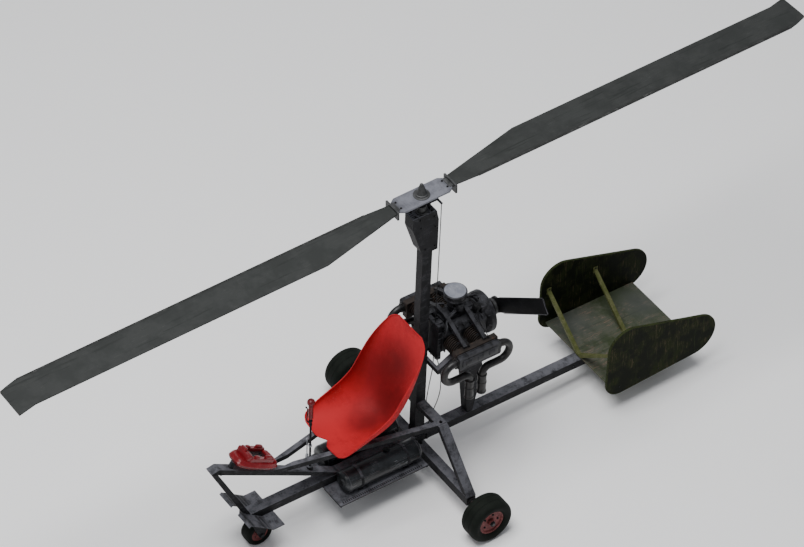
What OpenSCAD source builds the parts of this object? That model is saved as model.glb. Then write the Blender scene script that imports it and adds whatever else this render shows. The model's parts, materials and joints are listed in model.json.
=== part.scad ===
// Single-seat open-frame gyrocopter: a keel tube on three wheels, a mast that carries the
// two-blade rotor, a bucket seat, a flat-four engine with a pusher propeller and a twin-fin tail.
//
// Row frame: +Z up, the nose towards -Y, the pilot's left towards +X, millimetres. The origin is
// on the ground under the rotor axis. The airframe is drawn square to its keel, in a frame whose
// origin is the centre of the main axle, and keel_frame() tips it nose-up onto its wheels.

/* [Keel and mast] */
// Width of the keel tube
keel_w = 86; // [60:1:120]
// Height of the keel tube
keel_h = 68; // [50:1:100]
// Wall of the keel and mast tubes
tube_wall = 4; // [2:0.5:8]
// Length of keel ahead of the main axle
keel_fore = 1513; // [1300:1:1900]
// Length of keel behind the main axle
keel_aft = 2140; // [1700:1:2700]
// Height of the keel's underside above the main axle's centre line
keel_rise = 51; // [45:1:80]
// Nose-up angle of the keel as it stands
keel_pitch = 2.05; // [0:0.05:6]
// Width of the mast tube
mast_w = 72; // [60:1:100]
// Depth of the mast tube, fore and aft
mast_d = 82; // [70:1:110]
// Length of the mast from the keel to the foot of the head
mast_len = 1826; // [1500:1:2300]
// Distance of the mast's centre ahead of the main axle
mast_fore = 6; // [0:1:40]

/* [Rotor] */
// Diameter of the rotor
rotor_d = 6700; // [5000:10:8400]
// Chord of the blades
blade_chord = 270; // [200:1:330]
// Thickness of the blades
blade_t = 16; // [10:1:30]
// Distance from the rotor axis to the blade roots
blade_root_r = 250; // [220:1:320]
// Length of the sheared tip of each blade
blade_tip_len = 140; // [80:1:220]
// Length of the hub plate
hub_plate_len = 440; // [380:1:470]
// Width of the hub plate
hub_plate_w = 160; // [110:1:180]
// Thickness of the hub plate
hub_plate_t = 14; // [8:1:24]
// Diameter of the rotor shaft
rotor_shaft_d = 32; // [24:1:44]
// Height of the head box
head_h = 370; // [300:1:460]
// Width of the head box
head_w = 100; // [86:1:140]
// Height of the rotor plane above the head box
rotor_lift = 144; // [110:1:200]

/* [Undercarriage] */
// Distance between the centres of the main tyres
track = 1772; // [1500:1:2200]
// Diameter of the main tyres
main_tyre_d = 356; // [300:1:460]
// Width of the main tyres
main_tyre_w = 172; // [120:1:220]
// Diameter of the main rims
main_rim_d = 196; // [150:1:240]
// Diameter of the nose tyre
nose_tyre_d = 214; // [180:1:300]
// Width of the nose tyre
nose_tyre_w = 112; // [80:1:130]
// Diameter of the nose rim
nose_rim_d = 132; // [100:1:160]
// Distance of the nose wheel ahead of the main axle
nose_wheel_fore = 1392; // [1200:1:1440]
// Diameter of the axle pins
axle_d = 24; // [18:1:32]
// Depth of the cross arms, the gear struts and the axle beam, fore and aft
gear_d = 76; // [50:1:90]
// Thickness of the cross arms and the gear struts
gear_t = 40; // [25:1:60]
// Height of the cross arms' top above the main axle
arm_z = 460; // [380:1:560]
// Reach of the cross arms from the centre line
arm_reach = 305; // [260:1:380]
// Half-length of the axle beam
beam_reach = 700; // [600:1:720]

/* [Nose frame] */
// Width of the nose riser and the nose beam
nose_w = 76; // [50:1:86]
// Distance of the riser's top corner ahead of the main axle
riser_top_fore = 1796; // [1700:1:1900]
// Height of the riser's top corner above the main axle
riser_top_z = 704; // [600:1:800]
// Thickness of the side rails, across
rail_w = 45; // [30:1:60]
// Height of the side rails
rail_h = 40; // [30:1:50]
// Half-width of the foot rest
foot_reach = 198; // [170:1:260]
// Thickness of the foot rest's plate
foot_t = 6; // [4:0.5:10]

/* [Floor, tanks and seat] */
// Half-width of the floor plate
floor_reach = 272; // [240:1:340]
// Length of the floor plate
floor_len = 765; // [600:1:800]
// Thickness of the floor plate
floor_t = 10; // [4:1:16]
// Diameter of the two tanks
tank_d = 172; // [120:1:190]
// Length of the two tanks
tank_len = 664; // [450:1:700]
// Half-width of the seat at its hips
seat_half_w = 280; // [240:1:320]
// Thickness of the seat's shell
seat_t = 6; // [4:0.5:10]
// Height of the seat's top above the main axle
seat_top_z = 1245; // [1100:1:1400]

/* [Engine and propeller] */
// Height of the crankshaft above the main axle
crank_z = 1062; // [1020:1:1150]
// Distance of the engine's centre behind the main axle
engine_aft = 250; // [235:1:320]
// Distance between the two cylinders of a bank
bore_pitch = 170; // [150:1:200]
// Diameter over the cylinder fins
fin_d = 136; // [110:1:146]
// Reach of the valve covers from the centre line
engine_reach = 380; // [340:1:440]
// Diameter of the exhaust pipes
pipe_d = 56; // [40:1:64]
// Diameter of the air filter
filter_d = 176; // [140:1:220]
// Diameter of the propeller
prop_d = 1500; // [1200:10:1700]
// Chord of the propeller's blades
prop_chord = 128; // [90:1:150]
// Angle at which the propeller is parked
prop_park = 37.5; // [0:0.5:90]

/* [Tail] */
// Distance of the tail plane's leading edge behind the main axle
tail_aft = 1458; // [1300:1:1700]
// Chord of the tail plane
tail_chord = 814; // [600:1:900]
// Span of the tail plane
tail_span = 830; // [600:1:1100]
// Thickness of the tail plane
tail_t = 12; // [8:1:20]
// Thickness of the tail fins
tail_fin_t = 18; // [10:1:24]
// Height of the fins' top above the tail plane
tail_fin_h = 552; // [450:1:700]

/* [Hidden] */

// Radial clearance of a shaft that turns in a bore
run_fit = 0.05;
// Gap between curved faces that meet on one body
seat_gap = 0.1;
// Gap between parts that turn beside each other
side_gap = 6;

// Colours
frame_grey = [0.20, 0.20, 0.22];
hub_grey = [0.42, 0.43, 0.47];
blade_grey = [0.24, 0.25, 0.24];
seat_red = [0.75, 0.17, 0.17];
pod_red = [0.60, 0.13, 0.15];
olive = [0.22, 0.24, 0.15];
olive_strut = [0.37, 0.39, 0.20];
tyre_black = [0.08, 0.09, 0.08];
rim_red = [0.42, 0.17, 0.17];
engine_grey = [0.22, 0.22, 0.23];
engine_brown = [0.26, 0.20, 0.17];
filter_grey = [0.52, 0.53, 0.58];
tank_black = [0.10, 0.11, 0.13];

// Heights in the keel frame
wheel_r = main_tyre_d / 2;
keel_top = keel_rise + keel_h;
head_foot = keel_top + mast_len;
head_top = head_foot + head_h;
mast_y = -mast_fore;
mast_front = mast_y - mast_d / 2;
mast_rear = mast_y + mast_d / 2;

// Rotor axis, over the middle of the head box, and the main axle's place under it
rotor_yk = mast_y - 47;
rotor_zk = head_top + rotor_lift;
axle_y = -(rotor_yk * cos(keel_pitch) + rotor_zk * sin(keel_pitch));
rotor_z = wheel_r - rotor_yk * sin(keel_pitch) + rotor_zk * cos(keel_pitch);

// Nose axle, so that the nose tyre meets the ground
nose_r = nose_tyre_d / 2;
nose_axle_z = (nose_r - wheel_r - nose_wheel_fore * sin(keel_pitch)) / cos(keel_pitch);

// Draws its children in the frame of the keel, as the aircraft stands
module keel_frame() {
    translate([0, axle_y, wheel_r]) rotate([-keel_pitch, 0, 0]) children();
}

// Extrudes a side-view outline, drawn as [y, z], from x0 to x1
module side_slab(x0, x1, outline) {
    translate([x0, 0, 0]) rotate([90, 0, 90]) linear_extrude(x1 - x0) polygon(outline);
}

// Extrudes a front-view outline, drawn as [x, z], from y0 to y1
module front_slab(y0, y1, outline) {
    translate([0, y1, 0]) rotate([90, 0, 0]) linear_extrude(y1 - y0) polygon(outline);
}

// A box between two opposite corners
module block(lo, hi) {
    translate(lo) cube(hi - lo);
}

// A cylinder along X between two stations
module x_rod(x0, x1, y, z, d) {
    translate([x0, y, z]) rotate([0, 90, 0]) cylinder(h = x1 - x0, d = d, $fn = 64);
}

// A cylinder along Y between two stations
module y_rod(y0, y1, x, z, d) {
    translate([x, y1, z]) rotate([90, 0, 0]) cylinder(h = y1 - y0, d = d, $fn = 64);
}

// ---- Keel, mast and head ----

// The keel is plugged solid at its nose and just ahead of the tail plane, round a crosswise
// hole for a tow pin and one for a tie-down
tie_hole_d = 16;
tie_hole_inset = 36;
keel_plug = 72;
tie_down_y = tail_aft - 70;

module keel() {
    mid_z = keel_rise + keel_h / 2;
    color(frame_grey) keel_frame() difference() {
        block([-keel_w / 2, -keel_fore, keel_rise], [keel_w / 2, keel_aft, keel_top]);
        for (span = [[-keel_fore + keel_plug, tie_down_y - keel_plug / 2],
                     [tie_down_y + keel_plug / 2, keel_aft + 1]])
            block([-keel_w / 2 + tube_wall, span[0], keel_rise + tube_wall],
                  [keel_w / 2 - tube_wall, span[1], keel_top - tube_wall]);
        x_rod(-keel_w, keel_w, tie_down_y, mid_z, tie_hole_d);
        x_rod(-keel_w, keel_w, -keel_fore + tie_hole_inset, mid_z, tie_hole_d);
        translate([0, -nose_wheel_fore, keel_rise - 1])
            cylinder(h = tube_wall + 2, d = kingpin_d + 2 * run_fit, $fn = 64);
    }
}

module mast() {
    color(frame_grey) keel_frame() difference() {
        block([-mast_w / 2, mast_front, keel_top], [mast_w / 2, mast_rear, head_foot]);
        block([-mast_w / 2 + tube_wall, mast_front + tube_wall, keel_top - 1],
              [mast_w / 2 - tube_wall, mast_rear - tube_wall, head_foot + 1]);
    }
}

bearing_d = 64;
bearing_h = 70;
bearing_sink = 40;

// The rotor's bearing housing stands square under the level rotor, so its foot is cut to the
// head's sloping top
module bearing_bore(d) {
    translate([0, 0, rotor_z - rotor_lift - bearing_sink])
        cylinder(h = rotor_lift, d = d, $fn = 64);
}

module mast_head() {
    fore = rotor_yk - 98;
    aft = mast_rear + 34;
    color(frame_grey) difference() {
        keel_frame() side_slab(-head_w / 2, head_w / 2,
            [[mast_front, head_foot], [aft, head_foot], [aft, head_top - 92],
             [aft - 21, head_top], [fore, head_top], [fore, head_top - 98],
             [mast_front - 24, head_foot + 28]]);
        bearing_bore(rotor_shaft_d + 12);
    }
}

module rotor_bearing() {
    z0 = rotor_z - rotor_lift;
    color(hub_grey) difference() {
        translate([0, 0, z0 - 20]) cylinder(h = 20 + bearing_h, d = bearing_d, $fn = 64);
        bearing_bore(rotor_shaft_d + 2 * run_fit);
        keel_frame() block([-200, -400, head_top - 200], [200, 400, head_top]);
    }
}

// ---- Nose frame ----

// The riser leans forward from the keel's nose, and the beam runs from its top down to the keel
riser_foot = 46;
beam_foot = 62;
beam_end_fore = 706;
riser_inner_top = [-riser_top_fore + 56, riser_top_z - 33];
beam_outer_top = [-riser_top_fore + 66, riser_top_z + 13];

module nose_riser() {
    color(frame_grey) keel_frame() side_slab(-nose_w / 2, nose_w / 2,
        [[-keel_fore, keel_top], [-keel_fore + riser_foot, keel_top], riser_inner_top,
         beam_outer_top, [-riser_top_fore, riser_top_z]]);
}

module nose_beam() {
    color(frame_grey) keel_frame() side_slab(-nose_w / 2, nose_w / 2,
        [riser_inner_top, [-beam_end_fore - beam_foot, keel_top], [-beam_end_fore, keel_top],
         beam_outer_top]);
}

// Each rail is scarfed to the side of the nose beam and butts on the front of a cross arm
rail_top = arm_z + 2;
rail_nose_fore = 1300;
rail_scarf = 190;
arm_front = mast_y + 2 - gear_d / 2;
arm_rear = arm_front + gear_d;

module side_rail(side) {
    end_x = arm_reach - rail_w / 2;
    color(frame_grey) keel_frame() translate([0, 0, rail_top - rail_h])
        linear_extrude(rail_h)
            polygon([[side * nose_w / 2, -rail_nose_fore],
                     [side * nose_w / 2, -rail_nose_fore + rail_scarf],
                     [side * (end_x - rail_w / 2), arm_front],
                     [side * (end_x + rail_w / 2), arm_front]]);
}

// ---- Undercarriage ----

module cross_arms() {
    color(frame_grey) keel_frame() for (side = [-1, 1]) {
        x0 = min(side * mast_w / 2, side * arm_reach);
        x1 = max(side * mast_w / 2, side * arm_reach);
        block([x0, arm_front, arm_z - gear_t], [x1, arm_rear, arm_z]);
    }
}

strut_run = 54;

module gear_strut(side) {
    foot_out = beam_reach;
    foot_in = beam_reach - strut_run;
    slope = (foot_in - arm_reach) / (arm_z - gear_t - keel_rise);
    crown = foot_out - slope * (arm_z - keel_rise);
    color(frame_grey) keel_frame() front_slab(arm_front, arm_rear,
        [[side * arm_reach, arm_z], [side * crown, arm_z], [side * foot_out, keel_rise],
         [side * foot_in, keel_rise], [side * arm_reach, arm_z - gear_t]]);
}

module axle_beam() {
    color(frame_grey) keel_frame() difference() {
        block([-beam_reach, arm_front, keel_rise - gear_d], [beam_reach, arm_rear, keel_rise]);
        for (side = [-1, 1])
            x_rod(min(side * (beam_reach - 60), side * (beam_reach + 1)),
                  max(side * (beam_reach - 60), side * (beam_reach + 1)), 0, 0, axle_d);
    }
}

main_hub_w = 150;
wheel_x = track / 2;

module main_axles() {
    end_x = wheel_x + main_hub_w / 2 + 18;
    color(hub_grey) keel_frame() for (side = [-1, 1]) {
        x_rod(min(side * (beam_reach - 60), side * end_x),
              max(side * (beam_reach - 60), side * end_x), 0, 0, axle_d);
    }
}

// ---- Wheels ----

// A tyre in its own frame, its axle along X
module tyre(d, w, rim_d) {
    r = d / 2;
    flat = w * 0.28;
    bead = rim_d / 2 + 0.3;
    rotate([0, 90, 0]) rotate_extrude($fn = 96)
        polygon(concat(
            [[bead, -w * 0.36], [bead, w * 0.36]],
            [for (a = [0:15:90]) [r - (r - bead) * 0.52 + (r - bead) * 0.52 * sin(a),
                                  flat + (w / 2 - flat) * cos(a)]],
            [for (a = [90:-15:0]) [r - (r - bead) * 0.52 + (r - bead) * 0.52 * sin(a),
                                   -flat - (w / 2 - flat) * cos(a)]]));
}

// A rim in its own frame: a barrel, a dished disc and a hub that turns on the axle pin
module rim(d, w, hub_w) {
    barrel = w * 0.36;
    r = d / 2;
    rotate([0, 90, 0]) rotate_extrude($fn = 96)
        polygon([[axle_d / 2 + run_fit, -hub_w / 2], [axle_d / 2 + run_fit, hub_w / 2],
                 [axle_d / 2 + 14, hub_w / 2], [axle_d / 2 + 16, 8], [r - 10, 6],
                 [r - 10, barrel], [r, barrel], [r, -barrel], [r - 10, -barrel],
                 [r - 10, -6], [axle_d / 2 + 16, -8], [axle_d / 2 + 14, -hub_w / 2]]);
}

module at_main_wheel(side) {
    keel_frame() translate([side * wheel_x, 0, 0]) children();
}

module main_tyre(side) {
    color(tyre_black) at_main_wheel(side) tyre(main_tyre_d, main_tyre_w, main_rim_d);
}

module main_rim(side) {
    color(rim_red) at_main_wheel(side) rim(main_rim_d, main_tyre_w, main_hub_w);
}

module at_nose_wheel() {
    keel_frame() translate([0, -nose_wheel_fore, nose_axle_z]) children();
}

nose_hub_w = 100;

module nose_tyre() {
    color(tyre_black) at_nose_wheel() tyre(nose_tyre_d, nose_tyre_w, nose_rim_d);
}

module nose_rim() {
    color(rim_red) at_nose_wheel() rim(nose_rim_d, nose_tyre_w, nose_hub_w);
}

// The fork turns under the keel on a kingpin square to it, over the middle of the wheel
fork_plate_t = 8;
fork_cheek_half = 70;
kingpin_d = 24;

module nose_fork() {
    inner = nose_tyre_w / 2 + side_gap;
    crown_z = nose_r + 14;
    neck_top = keel_rise - foot_t - 1 - nose_axle_z;
    color(frame_grey) at_nose_wheel() {
        block([-inner - fork_plate_t, -fork_cheek_half, crown_z],
              [inner + fork_plate_t, fork_cheek_half, crown_z + fork_plate_t]);
        for (side = [-1, 1]) {
            x0 = side > 0 ? inner : -inner - fork_plate_t;
            side_slab(x0, x0 + fork_plate_t,
                [[-fork_cheek_half, crown_z], [-20, -8], [-12, -18], [12, -18], [20, -8],
                 [fork_cheek_half, crown_z]]);
        }
        x_rod(-inner - fork_plate_t - 12, inner + fork_plate_t + 12, 0, 0, axle_d);
        translate([0, 0, crown_z + fork_plate_t])
            cylinder(h = neck_top - crown_z - fork_plate_t, d = 54, $fn = 64);
        translate([0, 0, neck_top]) cylinder(h = foot_t + 1 + tube_wall + 12, d = kingpin_d,
                                             $fn = 64);
    }
}

// ---- Foot rest ----

toe_run = 191;
toe_rise = 142;
foot_flat = 95;
foot_rear = -1280;

module foot_rest() {
    z1 = keel_rise;
    z0 = keel_rise - foot_t;
    y1 = foot_rear - foot_flat;
    y2 = y1 - toe_run;
    z2 = z1 + toe_rise;
    color(frame_grey) keel_frame() {
        difference() {
            block([-foot_reach, y1, z0], [foot_reach, foot_rear, z1]);
            translate([0, -nose_wheel_fore, z0 - 1])
                cylinder(h = foot_t + 2, d = kingpin_d + 2 * run_fit, $fn = 64);
        }
        for (side = [-1, 1]) {
            x0 = side > 0 ? keel_w / 2 + 1 : -foot_reach;
            side_slab(x0, x0 + foot_reach - keel_w / 2 - 1,
                [[y1, z1], [y2, z2], [y2 - 17, z2 - 13], [y2 - 13, z2 - 18], [y2, z2 - 8],
                 [y1, z0]]);
        }
    }
}

// ---- Floor and tanks ----

floor_rear = arm_front - 41;
tank_x = floor_reach - 122;
tank_r = tank_d / 2;
tank_z = keel_rise + tank_r + 2;
tank_mid = floor_rear - 18 - tank_len / 2;

module floor_plate() {
    color(frame_grey) keel_frame()
        block([-floor_reach, floor_rear - floor_len, keel_rise - floor_t],
              [floor_reach, floor_rear, keel_rise]);
}

module tank(side) {
    dome = 30;
    half = tank_len / 2;
    color(tank_black) keel_frame() translate([side * tank_x, tank_mid, tank_z])
        rotate([90, 0, 0]) rotate_extrude($fn = 96)
            polygon(concat(
                [[0, -half], [tank_r * 0.55, -half]],
                [for (a = [15:15:90]) [tank_r * (0.55 + 0.45 * sin(a)), -half + dome * (1 - cos(a))]],
                [for (a = [90:-15:15]) [tank_r * (0.55 + 0.45 * sin(a)), half - dome * (1 - cos(a))]],
                [[tank_r * 0.55, half], [0, half]]));
}

module tank_saddles() {
    color(frame_grey) keel_frame() for (side = [-1, 1]) for (end = [-1, 1]) difference() {
        translate([side * tank_x, tank_mid + end * tank_len * 0.3, keel_rise])
            block([-60, -18, 0], [60, 18, 26]);
        y_rod(tank_mid - tank_len, tank_mid + tank_len, side * tank_x, tank_z,
              tank_d + 2 * seat_gap);
    }
}

// ---- Seat ----

// The seat is one moulded shell. Its middle line and its rim are smooth curves through a few
// stations, from the front edge back along the pan and up the back, and each station is joined
// across by a quarter of an ellipse on each side.
pan_z = rail_top + 14;
seat_back = mast_front - 30;

// Stations: [middle y, middle z, rim half-width share, rim y, rim z]
seat_stations = [
    [-838, pan_z,       0.80, -834, pan_z + 26],
    [-790, pan_z,       0.95, -806, pan_z + 56],
    [-700, pan_z + 1,   1.00, -704, pan_z + 110],
    [-600, pan_z + 3,   1.00, -600, pan_z + 158],
    [-500, pan_z + 8,   1.00, -500, pan_z + 206],
    [-400, pan_z + 24,  1.00, -412, pan_z + 275],
    [-320, pan_z + 66,  1.00, -350, pan_z + 372],
    [-268, pan_z + 150, 1.00, -285, pan_z + 474],
    [-228, pan_z + 280, 0.97, -222, pan_z + 560],
    [-190, pan_z + 430, 0.88, -158, pan_z + 650],
    [-150, pan_z + 590, 0.74, -118, pan_z + 718],
    [-106, seat_top_z,  0.50, seat_back - 22, seat_top_z - 4]];

seat_steps = 3;
seat_side_steps = 9;

function catmull(a, b, c, d, t) =
    0.5 * (2 * b + (c - a) * t + (2 * a - 5 * b + 4 * c - d) * t * t
           + (3 * b - a - 3 * c + d) * t * t * t);

function station(i) = seat_stations[max(0, min(len(seat_stations) - 1, i))];

seat_rows = [for (i = [0:len(seat_stations) - 2]) for (k = [0:seat_steps - 1])
                 catmull(station(i - 1), station(i), station(i + 1), station(i + 2),
                         k / seat_steps),
             station(len(seat_stations) - 1)];

// Direction square to the middle line at a row, pointing out of the shell's back
function row_out(i) =
    let (a = seat_rows[max(0, i - 1)], b = seat_rows[min(len(seat_rows) - 1, i + 1)],
         d = [b[0] - a[0], b[1] - a[1]])
    [d[1], -d[0]] / norm(d);

// A point of the shell: u from -1 to 1 across, out = 0 inside or the shell's thickness outside
function seat_point(i, u, out) =
    let (r = seat_rows[i], n = row_out(i), a = abs(u) * 90,
         cy = r[0] + n[0] * out, cz = r[1] + n[1] * out,
         half = seat_half_w * r[2] + out)
    [sign(u) * half * sin(a), cy + (r[3] - cy) * (1 - cos(a)), cz + (r[4] - cz) * (1 - cos(a))];

module seat() {
    nu = 2 * seat_side_steps + 1;
    ns = len(seat_rows);
    inside = [for (i = [0:ns - 1]) for (k = [-seat_side_steps:seat_side_steps])
                  seat_point(i, k / seat_side_steps, 0)];
    outside = [for (i = [0:ns - 1]) for (k = [-seat_side_steps:seat_side_steps])
                   seat_point(i, k / seat_side_steps, seat_t)];
    m = ns * nu;
    at = function (i, k) i * nu + k;
    quads = [for (i = [0:ns - 2]) for (k = [0:nu - 2]) [i, k]];
    color(seat_red) keel_frame() polyhedron(
        points = concat(inside, outside),
        faces = concat(
            [for (q = quads) [at(q[0], q[1]), at(q[0] + 1, q[1]), at(q[0] + 1, q[1] + 1)]],
            [for (q = quads) [at(q[0], q[1]), at(q[0] + 1, q[1] + 1), at(q[0], q[1] + 1)]],
            [for (q = quads) [m + at(q[0], q[1]), m + at(q[0] + 1, q[1] + 1),
                              m + at(q[0] + 1, q[1])]],
            [for (q = quads) [m + at(q[0], q[1]), m + at(q[0], q[1] + 1),
                              m + at(q[0] + 1, q[1] + 1)]],
            [for (k = [0:nu - 2]) [at(0, k), at(0, k + 1), m + at(0, k + 1)]],
            [for (k = [0:nu - 2]) [at(0, k), m + at(0, k + 1), m + at(0, k)]],
            [for (k = [0:nu - 2]) [at(ns - 1, k + 1), at(ns - 1, k), m + at(ns - 1, k)]],
            [for (k = [0:nu - 2]) [at(ns - 1, k + 1), m + at(ns - 1, k), m + at(ns - 1, k + 1)]],
            [for (i = [0:ns - 2]) [at(i + 1, 0), at(i, 0), m + at(i, 0)]],
            [for (i = [0:ns - 2]) [at(i + 1, 0), m + at(i, 0), m + at(i + 1, 0)]],
            [for (i = [0:ns - 2]) [at(i, nu - 1), at(i + 1, nu - 1), m + at(i + 1, nu - 1)]],
            [for (i = [0:ns - 2]) [at(i, nu - 1), m + at(i + 1, nu - 1), m + at(i, nu - 1)]]));
}

// Rear face of the seat's back at a height
function back_y(z) = lookup(z, [for (s = seat_stations) [s[1], s[0]]]) + seat_t + 3;

// Two cross bars carry the pan on the rails, and a stay holds the back to the mast
module seat_brackets() {
    low = seat_top_z - 300;
    high = low + 30;
    color(frame_grey) keel_frame() {
        for (y = [-700, -600])
            block([-190, y - 15, rail_top], [190, y + 15, pan_z - seat_t - 0.5]);
        side_slab(-25, 25, [[back_y(low), low], [mast_front, low], [mast_front, high],
                            [back_y(high), high]]);
    }
}

// ---- Controls and instruments ----

stick_y = -940;
stick_top = 892;

// Height of the nose beam's top at a station
function beam_top(y) =
    let (a = beam_outer_top, b = [-beam_end_fore, keel_top])
    a[1] + (b[1] - a[1]) * (y - a[0]) / (b[0] - a[0]);

module control_stick() {
    foot = beam_top(stick_y);
    color(frame_grey) keel_frame() difference() {
        union() {
            translate([0, stick_y, foot - 30]) cylinder(h = stick_top - foot - 90, d = 16, $fn = 32);
            translate([0, stick_y, foot - 30]) cylinder(h = 62, d = 44, $fn = 48);
        }
        side_slab(-60, 60, [[stick_y - 90, 0], [stick_y + 90, 0],
                            [stick_y + 90, beam_top(stick_y + 90)],
                            [stick_y - 90, beam_top(stick_y - 90)]]);
    }
}

module stick_grip() {
    foot = stick_top - 120;
    color(seat_red) keel_frame() translate([0, stick_y, foot]) rotate_extrude($fn = 48)
        polygon([[0, 0], [17, 0], [19, 20], [16, 60], [19, 110], [14, 125],
                 [24, 138], [30, 153], [30, 163], [24, 176], [12, 183], [0, 184]]);
}

pod_post_fore = 1615;
pod_gap = 50;
beam_slope = atan((beam_outer_top[1] - keel_top) / (-beam_end_fore - beam_outer_top[0]));

// Puts its children on the nose beam's top face, with +Z square to it
module on_beam(y) {
    translate([0, y, beam_top(y)]) rotate([-beam_slope, 0, 0]) children();
}

module pod_plan(grow) {
    offset(r = 20 + grow, $fn = 32) offset(delta = -20)
        polygon([[-70, -215], [70, -215], [112, -120], [112, 130], [70, 215], [-70, 215],
                 [-112, 130], [-112, -120]]);
}

module instrument_pod() {
    color(pod_red) keel_frame() on_beam(-1465) hull() {
        translate([0, 0, pod_gap]) linear_extrude(20) pod_plan(-28);
        translate([0, 0, pod_gap + 34]) linear_extrude(12) pod_plan(0);
        translate([0, 0, pod_gap + 64]) linear_extrude(8) pod_plan(-16);
    }
}

module pod_post() {
    color(frame_grey) keel_frame() on_beam(-pod_post_fore)
        cylinder(h = pod_gap, d = 42, $fn = 48);
}

module pitch_lever() {
    lever_z = head_top + 52;
    root_y = rotor_yk + 70;
    tip_y = rotor_yk + 137;
    color(frame_grey) keel_frame() {
        block([-7, root_y - 7, head_top], [7, root_y + 7, lever_z - 7]);
        block([-7, root_y - 7, lever_z - 7], [7, tip_y + 7, lever_z + 5]);
        block([7, tip_y - 7, lever_z - 7], [56, tip_y + 7, lever_z + 3]);
    }
}

// ---- Engine ----

engine_front = engine_aft - 158;
engine_rear = engine_aft + 230;
block_half = 130;
head_plate = engine_reach - 95;
cover_x = engine_reach - 45;
head_half = 180;

module engine_block() {
    color(engine_grey) keel_frame() front_slab(engine_front, engine_rear,
        [[-120, crank_z - 82], [-70, crank_z - 112], [70, crank_z - 112], [120, crank_z - 82],
         [block_half, crank_z - 60], [block_half, crank_z + 60], [100, crank_z + 90],
         [56, crank_z + 112], [-56, crank_z + 112], [-100, crank_z + 90],
         [-block_half, crank_z + 60], [-block_half, crank_z - 60]]);
}

module engine_front_case() {
    color(engine_grey) keel_frame() {
        block([-118, mast_rear + 25, crank_z - 150], [118, engine_front, crank_z + 175]);
    }
}

fin_count = 9;

module cylinders(side) {
    barrel = fin_d / 2 - 14;
    pitch = (head_plate - block_half) / fin_count;
    color(engine_brown) keel_frame() {
        for (end = [-1, 1])
            translate([side * block_half, engine_aft + end * bore_pitch / 2, crank_z])
                rotate([0, side * 90, 0]) rotate_extrude($fn = 72)
                    polygon(concat([[0, 0]],
                        [for (i = [0:fin_count - 1]) each
                            [[barrel, i * pitch], [barrel, (i + 0.62) * pitch],
                             [fin_d / 2, (i + 0.62) * pitch], [fin_d / 2, (i + 1) * pitch]]],
                        [[0, head_plate - block_half]]));
        block([min(side * head_plate, side * cover_x), engine_aft - head_half, crank_z - 70],
              [max(side * head_plate, side * cover_x), engine_aft + head_half, crank_z + 70]);
    }
}

module valve_cover(side) {
    color(engine_grey) keel_frame()
        translate([side * cover_x, engine_aft, crank_z])
            rotate([90, 0, side * 90]) linear_extrude(engine_reach - cover_x)
                offset(r = 16, $fn = 32)
                    square([2 * head_half - 32, 110 - 32], center = true);
}

bend_r = 84;
stack_bend = 60;
stack_spread = 54;
stack_foot = crank_z - 402;

// One leg of an exhaust: a half loop away from the head's end face, a run back under the
// valve cover and a bend into the down stack. end is -1 at the front and 1 at the rear.
module exhaust_leg(end) {
    port = head_half;
    loop = 200;
    turn = stack_spread + stack_bend;
    low = -2 * bend_r;
    mirror([0, end > 0 ? 0 : 1, 0]) {
        y_rod(port, loop, 0, 0, pipe_d);
        translate([0, loop, -bend_r]) rotate([0, -90, 0]) rotate([0, 0, 0])
            rotate_extrude(angle = 180, $fn = 96) translate([bend_r, 0]) circle(d = pipe_d, $fn = 48);
        y_rod(turn, loop, 0, low, pipe_d);
        translate([0, turn, low - stack_bend]) rotate([0, -90, 0]) rotate([0, 0, -90])
            rotate_extrude(angle = 90, $fn = 96) translate([stack_bend, 0])
                circle(d = pipe_d, $fn = 48);
        translate([0, stack_spread, stack_foot - crank_z])
            cylinder(h = low - stack_bend - stack_foot + crank_z, d = pipe_d + 10, $fn = 48);
    }
}

module exhaust(side) {
    color(engine_grey) keel_frame()
        translate([side * (cover_x + 5), engine_aft, crank_z]) {
            exhaust_leg(-1);
            exhaust_leg(1);
        }
}

filter_y = engine_aft + 31;

module intake() {
    top = crank_z + 273;
    deck = crank_z + 112;
    bar_half = 15;
    color(engine_grey) keel_frame() difference() {
        union() {
            translate([0, filter_y, deck]) cylinder(h = top - deck, d = 62, $fn = 48);
            translate([0, filter_y, deck + 60]) cylinder(h = 14, d = 110, $fn = 48);
            block([-50, engine_aft - bore_pitch / 2 - bar_half, deck],
                  [50, engine_aft + bore_pitch / 2 + bar_half, deck + 30]);
            for (end = [-1, 1]) {
                y = engine_aft + end * bore_pitch / 2;
                front_slab(y - bar_half, y + bar_half,
                    [[-head_plate - 25, crank_z + 40], [-head_plate, crank_z + 40],
                     [-head_plate + 8, crank_z + 72], [-50, deck + 58], [50, deck + 58],
                     [head_plate - 8, crank_z + 72], [head_plate, crank_z + 40],
                     [head_plate + 25, crank_z + 40], [head_plate + 25, crank_z + 88],
                     [50, deck + 90], [-50, deck + 90], [-head_plate - 25, crank_z + 88]]);
            }
        }
        for (side = [-1, 1])
            block([min(side * head_plate, side * engine_reach), 0, crank_z - 100],
                  [max(side * head_plate, side * engine_reach), 600, crank_z + 70]);
        for (side = [-1, 1]) for (end = [-1, 1])
            x_rod(side > 0 ? block_half : -head_plate, side > 0 ? head_plate : -block_half,
                  engine_aft + end * bore_pitch / 2, crank_z, fin_d + 4);
    }
}

module air_filter() {
    color(filter_grey) keel_frame() translate([0, filter_y, crank_z + 273])
        rotate_extrude($fn = 72)
            polygon([[0, 0], [filter_d / 2 - 6, 0], [filter_d / 2 - 6, 8], [filter_d / 2 - 10, 12],
                     [filter_d / 2 - 10, 46], [filter_d / 2, 48], [filter_d / 2, 56],
                     [filter_d / 2 - 12, 62], [0, 62]]);
}

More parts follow.
